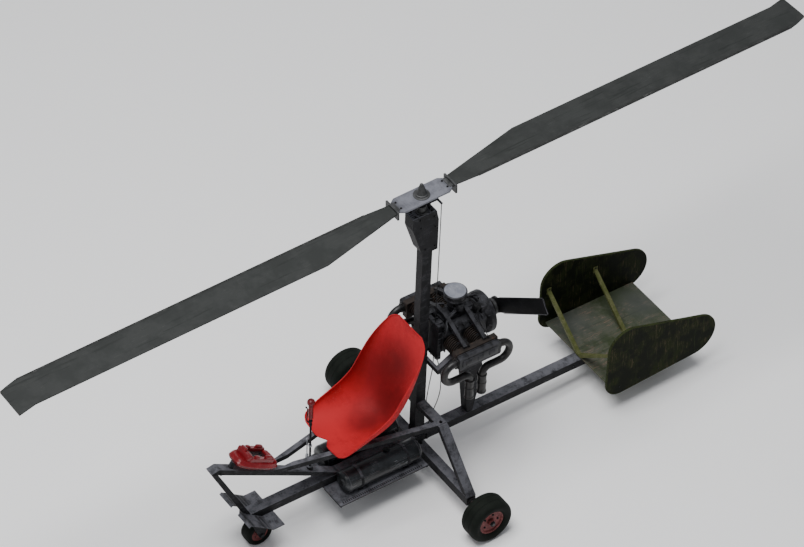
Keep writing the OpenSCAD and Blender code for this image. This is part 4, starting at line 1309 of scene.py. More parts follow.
@dataclass
class Stick:
    """The control stick's grip, brake lever and foot linkage."""

    def build(self) -> None:
        """Builds the grip, the lever and the linkage."""
        low, high = DATUM.box("stick_grip")
        y = (low.y + high.y) / 2
        base = pointing((0, y, low.z), UP)
        tall = high.z - low.z
        grip = [(10, 0), (17, 1), (18, 6)]
        for i in range(7):
            z = 14 + i * 14
            grip += [(17.6, z), (15.2, z + 5), (15.2, z + 8), (17.6, z + 12)]
        grip += [(18.6, 115), (15, 124), (13, 130), (17, 136), (26, 142), (29.5, 152), (29.5, 162),
                 (26, 172), (19, 180), (10, tall - 1), (0.1, tall)]
        settle(Shape().lathe(grip, base, 36).object("stick_grip_handle", GRIP, 40),
               "airframe", "stick_grip")
        lever = Shape()
        lever.lathe([(9, -34), (14, -34), (14, -22), (9, -22)], base, 28, ring=True)
        lever.lathe([(9, -70), (12, -70), (12, -60), (9, -60)], base, 28, ring=True)
        route = glide([(0, y - 12, low.z - 28), (0, y - 26, low.z - 24), (0, y - 34, low.z + 6),
                       (0, y - 27, low.z + 60), (0, y - 29, low.z + 104), (0, y - 40, low.z + 128)], 6)
        lever.tube(route, 4.2, 10)
        lever.lathe([(0.1, -6), (6, -5), (7.2, 0), (6, 5), (0.1, 6)],
                    pointing(route[-1], (0, -0.5, 1)), 16)
        lever.rod((-12, y - 20, low.z - 28), (12, y - 20, low.z - 28), 4.5)
        lever.put("brake_lever", BLACK)
        z = DATUM.box("control_stick")[0].z + 96
        link = Shape()
        link.lathe([(9, 148), (13, 148), (13, 162), (9, 162)], pointing((0, y, z), UP), 24, ring=True)
        link.rod((-20, y - 14, z + 20), (-20, y - 14, z + 214), 4.0)
        link.rod((0, y, z + 155), (-24, y - 14, z + 155), 5.0)
        link.block((-27, y - 24, z), (-13, y - 4, z + 58), 2.0)
        link.block((-24, y - 40, z + 12), (-18, y + 34, z + 24), 1.5)
        link.lathe([(0.1, -5), (8, -4), (9, 0), (8, 4), (0.1, 5)], across(-20, y - 14, z + 214), 16)
        link.put("stick_linkage", PALE)


@dataclass
class Engine:
    """What is bolted on the flat-four engine."""

    filter_rise: float = 273.0
    cylinder_offset: float = 85.0
    stack_offset: float = 54.0

    def build(self) -> None:
        """Builds the engine's fittings."""
        self.low, self.high = DATUM.box("engine_block")
        self.crank = DATUM.box("air_filter")[0].z - self.filter_rise
        self.mid_y = (DATUM.box("valve_cover_left")[0].y + DATUM.box("valve_cover_left")[1].y) / 2
        self._case()
        self._covers()
        self._carburettor()
        self._ignition()
        self._flanges()
        self._bolts()

    def _case(self) -> None:
        """Adds the crankcase's flanges, ribs and sump."""
        low, high, crank = self.low, self.high, self.crank
        case = Shape()
        case.block((-8, low.y + 4, low.z + 2), (8, high.y - 4, high.z + 6), 3)
        for i in range(7):
            y = low.y + 30 + i * 54
            for side in SIDES:
                case.block((side * 92 - 34, y - 4, crank + 70), (side * 92 + 34, y + 4, crank + 96), 2)
                case.block((side * 100 - 28, y - 4, crank - 96), (side * 100 + 28, y + 4, crank - 66), 2)
        case.block((-84, low.y + 50, low.z - 10), (84, high.y - 60, low.z + 4), 6)
        case.lathe([(0.1, -8), (34, -8), (36, 0), (36, 12), (0.1, 12)],
                   pointing((0, self.mid_y, low.z - 8), DOWN), 30)
        front_low, front_high = DATUM.box("engine_front_case")
        for i in range(5):
            z = front_low.z + 34 + i * 56
            case.block((front_low.x - 5, front_low.y + 3, z - 4),
                       (front_high.x + 5, front_high.y - 2, z + 4), 2)
        for x in (-88, -30, 30, 88):
            case.block((x - 4, front_low.y + 2, front_high.z - 30),
                       (x + 4, front_high.y + 26, front_high.z + 6), 2)
        case.lathe([(0.1, 0), (44, 0), (46, 6), (46, 30), (38, 36), (0.1, 38)],
                   pointing((64, front_high.y, front_high.z - 46), (0, 1, 0)), 36)
        case.lathe([(0.1, 0), (36, 0), (38, 5), (38, 96), (30, 108), (0.1, 110)],
                   pointing((-66, front_high.y, front_high.z - 44), (0, 1, 0)), 36)
        bell_low, bell_high = DATUM.box("bell_housing")
        middle = (bell_low.z + bell_high.z) / 2
        for i in range(12):
            turn = 2 * math.pi * i / 12
            place = (Matrix.Translation((0, bell_low.y + 40, middle))
                     @ Matrix.Rotation(turn, 4, "Y") @ Matrix.Translation((146, 0, 0)))
            case.slab(round_rectangle(14, 34, 4, 2), -5, 5, place, 2)
        case.put("engine_ribs", ENGINE)

    def _covers(self) -> None:
        """Adds the valve covers' raised centres, rims and spring bails."""
        covers, bails = Shape(), Shape()
        for side, node in ((1, "valve_cover_left"), (-1, "valve_cover_right")):
            low, high = DATUM.box(node)
            y, z = (low.y + high.y) / 2, (low.z + high.z) / 2
            half_y, half_z = (high.y - low.y) / 2, (high.z - low.z) / 2
            outer = high.x if side > 0 else -low.x
            root = outer - 45
            place = self._lying(side * (outer - 2), y, z, side)
            covers.slab(round_rectangle(half_z - 22, half_y - 26, 12, 4), 0, 7, place, 3)
            for shift in (-0.5, 0.0, 0.5):
                spot = place @ Matrix.Translation((0, shift * half_y * 1.1, 6))
                covers.slab(round_rectangle(half_z - 34, 26, 8, 3), 0, 4.5, spot, 2)
            rim = self._lying(side * (root + 4), y, z, side)
            covers.slab(round_rectangle(half_z + 5, half_y + 1, 18, 5), -4, 4, rim, 1.5)
            for shift in (-0.58, 0.58):
                y1 = y + shift * half_y
                x1 = side * (outer + 2)
                bend = ((side * (root - 6), -half_z - 8), (x1 - side * 12, -half_z - 4), (x1, -half_z * 0.6),
                        (x1, half_z * 0.6), (x1 - side * 12, half_z + 4), (side * (root - 6), half_z + 8))
                bails.tube(glide([(x, y1, z + up) for x, up in bend], 5), 2.4, 8)
        covers.put("valve_cover_ribs", ENGINE)
        bails.put("valve_cover_bails", BOLT)

    @staticmethod
    def _lying(x: float, y: float, z: float, side: int) -> Matrix:
        """Returns a sideways placing matrix whose local Y axis runs along the keel."""
        place = across(x, y, z, side)
        along = abs((place.to_3x3() @ Vector((0, 1, 0))).y) > 0.5
        return place @ Matrix.Rotation(0 if along else math.pi / 2, 4, "Z")

    def _carburettor(self) -> None:
        """Adds the carburettor's body, the filter's clamp and the throttle linkage."""
        low, high = DATUM.box("air_filter")
        x, y = 0.0, (low.y + high.y) / 2
        radius = (high.y - low.y) / 2
        crank = self.crank
        body, lid = Shape(), Shape()
        up = pointing((x, y, crank + 112), UP)
        throat = [(31, 70), (48, 74), (48, 92), (36, 98), (36, 118), (46, 124), (46, 150), (31, 156)]
        body.lathe(throat, up, 36, ring=True)
        body.block((34, y - 26, crank + 200), (82, y + 26, crank + 250), 8)
        body.lathe([(0.1, 0), (26, 0), (28, 4), (28, 40), (20, 46), (0.1, 46)],
                   pointing((58, y, crank + 236), DOWN), 28)
        body.block((-74, y - 20, crank + 206), (-34, y + 20, crank + 244), 6)
        body.lathe([(0.1, 0), (17, 0), (19, 4), (19, 22), (0.1, 22)], across(-74, y, crank + 226, -1), 24)
        body.rod((-60, y - 34, crank + 214), (70, y - 34, crank + 214), 4)
        body.rod((60, y - 34, crank + 214), (66, y - 90, crank + 190), 3.5)
        body.lathe([(0.1, -3), (14, -3), (14, 3), (0.1, 3)], across(60, y - 34, crank + 214), 20)
        for k in range(10):
            turn = 2 * math.pi * k / 10
            spot = Matrix.Translation((x, y, 0)) @ Matrix.Rotation(turn, 4, "Z")
            body.slab(round_rectangle(3, 11, 1.5, 2), low.z + 13, low.z + 46,
                      spot @ Matrix.Translation((radius - 10, 0, 0)))
        body.put("carburettor_details", ENGINE)
        top = pointing((x, y, high.z - 0.6), UP)
        lid.lathe([(radius - 13, 0), (radius - 3, -4), (radius + 0.5, -7), (radius + 1.5, -10),
                   (radius - 2, -11), (radius - 16, -4)], top, 64, ring=True)
        lid.put("filter_rim", ENGINE)
        knob = Shape()
        knob.lathe([(0.1, -1), (radius - 9, -1), (radius - 9, 0.6), (radius - 12, 1.4), (0.1, 1.6)], top, 64)
        knob.lathe([(14, 1), (16, 1), (16, 2.6), (14, 2.6)], top, 36, ring=True)
        knob.lathe([(0.1, 1), (5, 1), (5, 5), (3, 6), (3, 8), (0.1, 8)], top, 6)
        for shift in (-9, 9):
            knob.slab(round_rectangle(1.2, 22, 0.8, 2), 0.2, 1.4,
                      top @ Matrix.Rotation(0.6, 4, "Z") @ Matrix.Translation((shift * 2.6, 30, 0)), 0.3)
        knob.put("filter_knob", LID)

    def _ignition(self) -> None:
        """Adds the distributor, the coil, the pump and the engine's pipes."""
        crank, low, high = self.crank, self.low, self.high
        black, metal = Shape(), Shape()
        post = (56.0, high.y - 60.0, crank + 92.0)
        black.lathe([(0.1, 0), (20, 0), (22, 8), (22, 40), (30, 46), (31, 74), (24, 86), (0.1, 90)],
                    pointing(post, (0.25, 0.1, 1)), 32)
        metal.lathe([(0.1, 0), (24, 0), (26, 5), (26, 84), (20, 90), (0.1, 90)],
                    pointing((-92, high.y - 90, crank + 116), (0.2, -1, 0.15)), 28)
        metal.lathe([(0.1, 0), (30, 0), (34, 6), (34, 26), (24, 34), (24, 52), (0.1, 54)],
                    pointing((-60, self.mid_y + 40, crank + 100), (-0.1, 0, 1)), 28)
        metal.block((26, high.y - 30, crank + 70), (96, high.y + 26, crank + 150), 10)
        metal.lathe([(0.1, 0), (30, 0), (32, 6), (32, 118), (24, 128), (0.1, 130)],
                    pointing((-104, high.y - 20, crank + 64), (0, 1, 0)), 32)
        pipes = (
            [(-60, self.mid_y + 40, crank + 150), (-70, self.mid_y + 10, crank + 190),
             (-66, self.mid_y - 10, crank + 224), (-46, self.mid_y + 20, crank + 236)],
            [(110, low.y + 30, crank + 66), (150, low.y + 6, crank + 96), (140, low.y + 30, crank + 150),
             (96, low.y + 60, crank + 172), (60, self.mid_y, crank + 196)],
            [(-104, low.y + 30, crank + 70), (-150, low.y, crank + 90), (-140, low.y + 60, crank + 140),
             (-84, self.mid_y, crank + 150)],
            [(30, high.y - 10, crank + 120), (0, high.y + 24, crank + 150), (-50, high.y + 10, crank + 140),
             (-86, high.y - 30, crank + 110)],
        )
        for points in pipes:
            metal.tube(glide(points, 8), 9.0, 12)
        for side in SIDES:
            for end in SIDES:
                y = self.mid_y + end * self.cylinder_offset
                x = side * 306
                plug = pointing((x, y + 28, crank + 66), (side * 0.2, 0, 1))
                black.lathe([(0.1, 0), (8, 0), (8, 22), (6, 26), (0.1, 30)], plug, 14)
                route = [(x + side * 4, y + 28, crank + 90), (x - side * 10, y + 20, crank + 112),
                         (side * 200, y + 30, crank + 132), (side * 110, high.y - 70, crank + 150),
                         (56 + side * 10, high.y - 58 + end * 8, crank + 176)]
                black.tube(glide(route, 8), 3.5, 8)
        black.put("ignition_parts", BLACK)
        metal.put("engine_pipes_and_pumps", ENGINE)

    def _flanges(self) -> None:
        """Adds the exhausts' flanges, clamps and stack rims."""
        trim = Shape()
        for side, node in ((1, "exhaust_left"), (-1, "exhaust_right")):
            low, high = DATUM.box(node)
            x = (low.x + high.x) / 2
            cover_low, cover_high = DATUM.box("valve_cover_left" if side > 0 else "valve_cover_right")
            for end, y in ((-1, cover_low.y), (1, cover_high.y)):
                trim.lathe([(26, 0), (38, 0), (38, 7), (30, 9), (30, 16), (26, 16)],
                           pointing((x, y, self.crank), (0, end, 0)), 32, ring=True)
                trim.block((x - 6, y + (2 if end > 0 else -10), self.crank - 46),
                           (x + 6, y + (10 if end > 0 else -2), self.crank + 46), 2)
            for end in SIDES:
                y = self.mid_y + end * self.stack_offset
                for z in (low.z + 6, low.z + 96, low.z + 168):
                    trim.lathe([(30, -6), (36, -6), (37, 0), (36, 6), (30, 6)],
                               pointing((x, y, z), UP), 32, ring=True)
                trim.lathe([(0.1, -2), (28, -2), (28, 1), (0.1, 1)], pointing((x, y, low.z - 0.4), DOWN), 28)
        trim.put("exhaust_flanges", PIPE)

    def _bolts(self) -> None:
        """Bolts the engine together."""
        low, high, crank = self.low, self.high, self.crank
        spots = []
        for i in range(8):
            y = low.y + 24 + i * 48
            for side in SIDES:
                spots.append(((side * 44, y, high.z), UP))
                spots.append(((side * 40, y, low.z), DOWN))
        front_low, front_high = DATUM.box("engine_front_case")
        for x in (-104, -52, 0, 52, 104):
            for z in (front_low.z + 14, front_high.z - 14):
                spots.append(((x, front_low.y, z), (0, -1, 0)))
        bell_low, bell_high = DATUM.box("bell_housing")
        middle = (bell_low.z + bell_high.z) / 2
        for i in range(10):
            turn = 2 * math.pi * (i + 0.5) / 10
            x, z = polar(152, turn, (0.0, middle))
            spots.append(((x, bell_low.y + 60, z), (0, 1, 0)))
        for side in SIDES:
            for end in SIDES:
                for shift in (-34, 34):
                    y = self.mid_y + end * self.cylinder_offset + shift
                    spots.append(((side * 262, y, crank + 96), UP))
        Bolts("engine_bolt_tree", 12, spin=4).put(spots, "engine_bolts", BOLT)


@dataclass
class Propeller:
    """The two-blade pusher propeller and its hub plates."""

    root_chord: float = 112.0
    blade_chord: float = 128.0
    half_tip: float = 63.0
    root_thickness: float = 22.0
    thinning: float = 13.0
    boss_radius: float = 30.0
    stations: int = 18

    def build(self) -> None:
        """Builds the twisted blades, the boss and its bolts."""
        joint = next(j for j in frame["joints"] if j["name"] == "propeller_spin")
        centre = Vector(joint["pos_m"]) / MM
        points = [v.co / MM - centre for v in frame["nodes"]["propeller"].data.vertices]
        length, last = max((point.length, i) for i, point in enumerate(points))
        reach = length - 2.0
        axis = Vector(joint["axis"]).normalized()
        out = (points[last] - axis * points[last].dot(axis)).normalized()
        lean = math.asin(self.half_tip / length)
        beside = axis.cross(out)
        options = [(out * math.cos(lean) + beside * turn * math.sin(lean)).normalized() for turn in (1, -1)]
        far = [p for p in points if p.length > reach * 0.97 and p.dot(out) > 0]
        mean = sum(far, Vector()) / len(far)
        along = max(options, key=lambda w: w.dot(mean.normalized()))
        side = axis.cross(along).normalized()
        place = Matrix((
            (along.x, side.x, axis.x, centre.x),
            (along.y, side.y, axis.y, centre.y),
            (along.z, side.z, axis.z, centre.z),
            (0.0, 0.0, 0.0, 1.0),
        ))
        blades = Shape(DATUM.row @ place)
        for turn in (0.0, math.pi):
            blades.loft([self._section(i / self.stations, reach, turn) for i in range(self.stations + 1)])
        blades.lathe([(0.1, -12), (56, -12), (60, -8), (60, 8), (56, 12), (0.1, 12)], Matrix.Identity(4), 48)
        blades.put("propeller_blades", PROP, "propeller_body", nodes=("propeller",), crease=50)
        tape = Shape(DATUM.row @ place)
        for turn in (0.0, math.pi):
            spin = Matrix.Rotation(turn, 4, "Z")
            tape.block_at(spin @ Matrix.Translation((reach - 6, 0, 0)), (1.6, 57, 4.6))
            for edge in SIDES:
                tape.block_at(spin @ Matrix.Translation((reach * 0.56, edge * 62, -edge * 2.5)),
                              (reach * 0.42, 1.4, 2.4))
        tape.put("propeller_edge_bindings", WORN, "propeller_body")
        spots = [((*polar(40, math.pi * i / 3), 26.0), UP) for i in range(6)]
        tree = Bolts("prop_bolt_tree", 12, spin=6)
        tree.put(spots, "propeller_bolts", BOLT, "propeller_body", place=DATUM.row @ place)

    def _section(self, share: float, reach: float, turn: float) -> list[Vector]:
        """Draws one airfoil section of a blade.

        Args:
            share: How far out it is, from 0 at the boss to 1 at the tip.
            reach: The blade's tip radius.
            turn: The blade's angle round the hub.

        Returns:
            The section's points, in the hub's frame.
        """
        radius = self.boss_radius + (reach - self.boss_radius) * share
        grow = min(1.0, max(0.0, (radius - 50) / 50))
        chord = self.root_chord + (self.blade_chord - self.root_chord) * grow * grow * (3 - 2 * grow)
        thick = self.root_thickness - self.thinning * share
        if share > 0.97:
            chord, thick = chord * 0.9, thick * 0.7
        pitch = math.radians(8 - 5 * share) * grow
        points = []
        for k in range(20):
            t = 2 * math.pi * k / 20
            x = 0.5 * chord * math.cos(t)
            z = 0.5 * thick * math.sin(t) * (1.0 if math.sin(t) > 0 else 0.6) * (0.75 + 0.25 * math.cos(t))
            across_blade = x * math.cos(pitch) - z * math.sin(pitch)
            lift = x * math.sin(pitch) + z * math.cos(pitch)
            spot = Vector((radius, across_blade, lift))
            points.append(Matrix.Rotation(turn, 3, "Z") @ spot)
        return points


@dataclass
class Rotor:
    """Fittings on the rotor's hub, blades and head."""

    def build(self) -> None:
        """Builds the rotor's fittings, in the row frame."""
        low, high = Datum.row_box("hub_plate")
        blade_low, _ = Datum.row_box("blade_rear")
        top = high.z
        spots = []
        for sy in SIDES:
            for x in (-34, 34):
                spots.append(((x, sy * (high.y - 26), top), UP))
                spots.append(((x, sy * (high.y - 26), low.z), DOWN))
                spots.append(((x * 1.4, sy * (blade_low.y - 14), top - 2), (0, -sy, 0)))
        Bolts("rotor_bolt_tree", 10, spin=3).put(spots, "rotor_bolts", BOLT, "rotor", place=DATUM.row)
        fittings = Shape(DATUM.row)
        for sy in SIDES:
            fittings.block((-46, sy * (high.y + 8) - 22, top - 1), (46, sy * (high.y + 8) + 22, top + 4), 3)
        cone_low, _ = Datum.row_box("hub_cone")
        ring = pointing((0, 0, cone_low.z), UP)
        fittings.lathe([(50, 0), (60, 0), (60, 5), (54, 8), (50, 8)], ring, 48, ring=True)
        fittings.lathe([(40, 9), (45, 10), (45, 16), (37, 20), (36, 12)], ring, 48, ring=True)
        fittings.block((-26, -42, low.z - 30), (26, 42, low.z), 4)
        fittings.put("hub_fittings", DARK, "rotor")
        # Strips along each blade's leading edge, in a darker tone that is painted shade on the bevel.
        edges = Shape(DATUM.row)
        for sy, node in ((1, "blade_rear"), (-1, "blade_front")):
            box_low, box_high = Datum.row_box(node)
            lead = box_high.x if sy > 0 else box_low.x
            tip = box_high.y if sy > 0 else -box_low.y
            z = (box_low.z + box_high.z) / 2
            start, end = blade_low.y + 190, tip - 146
            edges.slab(round_rectangle(11, (end - start) / 2, 3, 2), z - 4.4, z + 4.4,
                       Matrix.Translation((lead - sy * 10.5, sy * (start + end) / 2, 0)), 1.2)
        edges.put("blade_leading_strips", EDGE, "rotor")
        self._head()

    @staticmethod
    def _head() -> None:
        """Adds the rotor head's bearing collars, a seam strip across its front, slots and bolts."""
        low, high = DATUM.box("mast_head")
        bearing_low, bearing_high = Datum.row_box("rotor_bearing")
        collar = Shape(DATUM.row)
        at = pointing((0, 0, bearing_low.z), UP)
        tall = bearing_high.z - bearing_low.z
        collar.lathe([(33, 3), (46, 3), (46, 10), (40, 14), (33, 14)], at, 40, ring=True)
        collar.lathe([(33, tall - 12), (38, tall - 12), (38, tall - 3), (33, tall - 3)], at, 40, ring=True)
        collar.put("bearing_collars", DARK)
        plates = Shape()
        spots = []
        for side in SIDES:
            x = side * high.x
            for y, z in ((-90, high.z - 30), (30, high.z - 50), (-80, high.z - 110), (44, high.z - 150),
                         (-36, low.z + 40), (44, low.z + 40)):
                spots.append(((x, y, z), (side, 0, 0)))
        for x in (-32, 32):
            for y in (-118, 20):
                spots.append(((x, y, high.z), UP))
        slots = [((x, y, high.z), UP) for x in (-37, 37) for y in range(-134, 66, 25)]
        slots += [((x, y, high.z), UP) for x in (-18, 0, 18) for y in (-136, -120)]
        Blocks("head_slot_tree", (5.0, 14.0, 1.4)).put(slots, "head_slots", BLACK)
        plates.block((-high.x - 2, low.y + 1, high.z - 100), (high.x + 2, low.y + 5, high.z - 96), 1)
        plates.put("head_seam", FRAME)
        Bolts("head_bolt_tree", 10, spin=9).put(spots, "head_bolts", BOLT)


@dataclass
class Tail:
    """Edge bindings, rivets and brackets of the twin-fin tail."""

    rivet: float = 7.0
    rib_depth: float = 14.0
    strut_rise: float = 318.0

    def build(self) -> None:
        """Builds the bindings, the brackets and the rivets."""
        plane_low, plane_high = DATUM.box("tail_plane")
        spots = []
        binding = Shape()
        for side, node in ((1, "tail_fin_left"), (-1, "tail_fin_right")):
            low, high = DATUM.box(node)
            loop = self._outline(node)
            x = (low.x + high.x) / 2
            half = (high.x - low.x) / 2 + 1.2
            rings = []
            section = ((-half, -5), (-half, -1.5), (-half + 3, 1.2),
                       (half - 3, 1.2), (half, -1.5), (half, -5))
            middle = sum((Vector((y, z)) for y, z in loop), Vector((0, 0))) / len(loop)
            for y, z in loop:
                away = (Vector((y, z)) - middle).normalized()
                rings.append([Vector((x + dx, y + away.x * dr, z + away.y * dr)) for dx, dr in section])
            binding.loft(rings, wrap=True)
            outer = side * (high.x if side > 0 else -low.x)
            for aft in (60, 240, 420, 600, 760):
                spots.append(((outer, plane_low.y + aft, plane_high.z - 6), (side, 0, 0)))
        binding.put("fin_edge_bindings", FIN_EDGE, crease=50)
        brackets = Shape()
        for y in (plane_low.y + 10, plane_low.y + 440):
            brackets.block((-38, y - 19, plane_high.z), (38, y + 19, plane_high.z + 5), 2)
            for side in SIDES:
                x = side * plane_high.x
                z = plane_high.z + self.strut_rise
                brackets.block((min(x, x - side * 5), y - 20, z - 26),
                               (max(x, x - side * 5), y + 20, z + 30), 2)
                spots.append(((x - side * 5, y, z + 20), (-side, 0, 0)))
                spots.append(((side * 28, y, plane_high.z + 5), UP))
        brackets.put("strut_brackets", STRUT)
        ribs = Shape()
        for i in range(4):
            y = plane_low.y + 40 + i * (plane_high.y - plane_low.y - 80) / 3
            for side in SIDES:
                ribs.block_on(side, (44, plane_high.x - 4), (y - 9, plane_low.z - self.rib_depth),
                              (y + 9, plane_low.z))
                for k in range(6):
                    spots.append(((side * (70 + k * 62), y, plane_low.z - self.rib_depth), DOWN))
        for x in (-plane_high.x + 16, plane_high.x - 16):
            ribs.block((x - 10, plane_low.y + 6, plane_low.z - self.rib_depth),
                       (x + 10, plane_high.y - 6, plane_low.z), 2)
        ribs.put("tail_plane_ribs", TAIL)
        Bolts("tail_rivet_tree", self.rivet, spin=2).put(spots, "tail_rivets", BOLT)

    @staticmethod
    def _outline(node: str) -> list[tuple[float, float]]:
        """Follows a fin's outline.

        Args:
            node: The fin's CAD node.

        Returns:
            Its (y, z) points in order, a few millimetres to a few centimetres apart.
        """
        into = DATUM.keel.inverted()
        points = [into @ v.co for v in frame["nodes"][node].data.vertices]
        flat = sorted({(round(p.y, 1), round(p.z, 1)) for p in points})
        middle = Vector((sum(p[0] for p in flat), sum(p[1] for p in flat))) / len(flat)
        loop = sorted(flat, key=lambda p: math.atan2(p[1] - middle.y, p[0] - middle.x))
        line = [Vector(p) for p in loop]
        total = sum((line[i] - line[i - 1]).length for i in range(len(line)))
        step, made, carry = total / 110, [], 0.0
        for i in range(len(line)):
            start, end = line[i - 1], line[i]
            length = (end - start).length
            while carry < length:
                made.append(tuple(start.lerp(end, carry / length)))
                carry += step
            carry -= length
        return made[:110]


@dataclass
class Tanks:
    """Straps, seams, caps and outlets of the two tanks."""

    strap_width: float = 22.0

    def build(self) -> None:
        """Builds each tank's fittings."""
        straps, caps, seams = Shape(), Shape(), Shape()
        lines = Shape()
        for side, node in ((1, "tank_left"), (-1, "tank_right")):
            low, high = DATUM.box(node)
            x, z, r = (low.x + high.x) / 2, (low.z + high.z) / 2, (high.x - low.x) / 2
            length = high.y - low.y
            for share in (0.2, 0.8):
                y = low.y + length * share
                w = self.strap_width / 2
                strap = [(r + 0.2, -w), (r + 1.8, -w), (r + 2.0, 0), (r + 1.8, w), (r + 0.2, w)]
                straps.lathe(strap, pointing((x, y, z), (0, 1, 0)), 64, ring=True)
                straps.block((x - 12, y - 14, z + r + 1), (x + 12, y + 14, z + r + 8), 3)
            for share, way in ((0.048, -1), (0.952, 1)):
                at = pointing((x, low.y + length * share, z), (0, way, 0))
                seam = [(r - 1, -3), (r + 0.6, -2), (r + 1.0, 0), (r + 0.6, 2), (r - 1, 3)]
                seams.lathe(seam, at, 64, ring=True)
                end = pointing((x, low.y if way < 0 else high.y, z), (0, way, 0))
                caps.lathe([(0.1, -4), (26, -4), (24, 1.5), (12, 2.5), (12, 9), (0.1, 9)], end, 28)
            filler = pointing((x - side * 34, low.y + length * 0.62, z + r * 0.90), (-side * 0.4, 0, 1))
            caps.lathe([(0.1, -8), (22, -8), (22, 4), (26, 5), (27, 14), (23, 17), (0.1, 18)], filler, 32)
            for share, start, end in ((0.5, 0.16, 0.42), (0.5, 0.62, 0.80), (-0.6, 0.2, 0.7)):
                turn = math.radians(90 - side * 62 * share / 0.5)
                at_x, at_z = polar(r + 0.1, turn, (x, z))
                lines.rod((at_x, low.y + length * start, at_z), (at_x, low.y + length * end, at_z), 1.3, 8)
        straps.put("tank_straps", FRAME)
        caps.put("tank_caps", BLACK)
        seams.put("tank_seams", WORN)
        lines.put("tank_lines", WORN)


@dataclass
class Floor:
    """Slots and folds of the floor plate and the foot rests."""

    slot: Point = (20.0, 9.0, 1.2)
    slit: Point = (4.0, 24.0, 1.2)
    slot_pitch: float = 17.0
    slot_inset: float = 21.0
    slit_pitch: float = 8.6
    slit_count: int = 16

    def build(self) -> None:
        """Builds the slotted strips, the folds and the treads."""
        low, high = DATUM.box("floor_plate")
        slots, slits, folds, edges = [], [], Shape(), Shape()
        rows = int((high.y - low.y - 60) / self.slot_pitch)
        for side in SIDES:
            x = side * (high.x - self.slot_inset)
            for i in range(rows):
                slots.append(((x, low.y + 36 + i * self.slot_pitch, high.z), UP))
            for inset in (3.5, 36, 46):
                folds.block((side * (high.x - inset) - 2, low.y + 2, high.z - 1),
                            (side * (high.x - inset) + 2, high.y - 2, high.z + 2.5), 0.9)
            for start, end in ((low.y + 2, low.y + 14), (high.y - 14, high.y - 2)):
                folds.block_on(side, (50, high.x - 4), (start, low.z - 12), (end, low.z + 1))
        foot_low, foot_high = DATUM.box("foot_rest")
        fold_y = foot_high.y - 95
        run, rise = fold_y - foot_low.y - 17, foot_high.z - high.z
        slope = Vector((0, -run, rise)).normalized()
        face = Vector((0, rise, run)).normalized()
        for side in SIDES:
            for row in (0.16, 0.34, 0.86):
                for k in range(self.slit_count):
                    at = Vector((side * (60 + k * self.slit_pitch), fold_y, high.z))
                    slits.append((at + slope * (row * math.hypot(run, rise)), face))
            mid = (foot_high.x + 44) / 2
            place = Matrix.Translation((side * mid, fold_y - 1, high.z + 1))
            edges.block_on(side, (high.x - 2, high.x + 0.6), (low.y + 4, high.z - 1.5),
                           (high.y - 4, high.z + 0.8), 0.6)
            folds.slab(round_rectangle((foot_high.x - 48) / 2, 4, 2, 2), -1.5, 1.8, place, 0.8)
            for share in (0.02, 0.26, 0.985):
                spot = Vector((side * mid, fold_y, high.z)) + slope * (share * math.hypot(run, rise))
                turned = Matrix.Translation(spot) @ Matrix.Rotation(-math.atan2(rise, run), 4, "X")
                edges.slab(round_rectangle((foot_high.x - 48) / 2, 1.6, 0.8, 2), -0.5, 1.8, turned, 0.5)
        Blocks("slot_tree", self.slot).put(slots, "floor_slots", BLACK)
        Blocks("slit_tree", self.slit).put(slits, "foot_rest_slots", BLACK)
        folds.put("floor_folds", FRAME)
        edges.put("foot_rest_worn_edges", WORN)


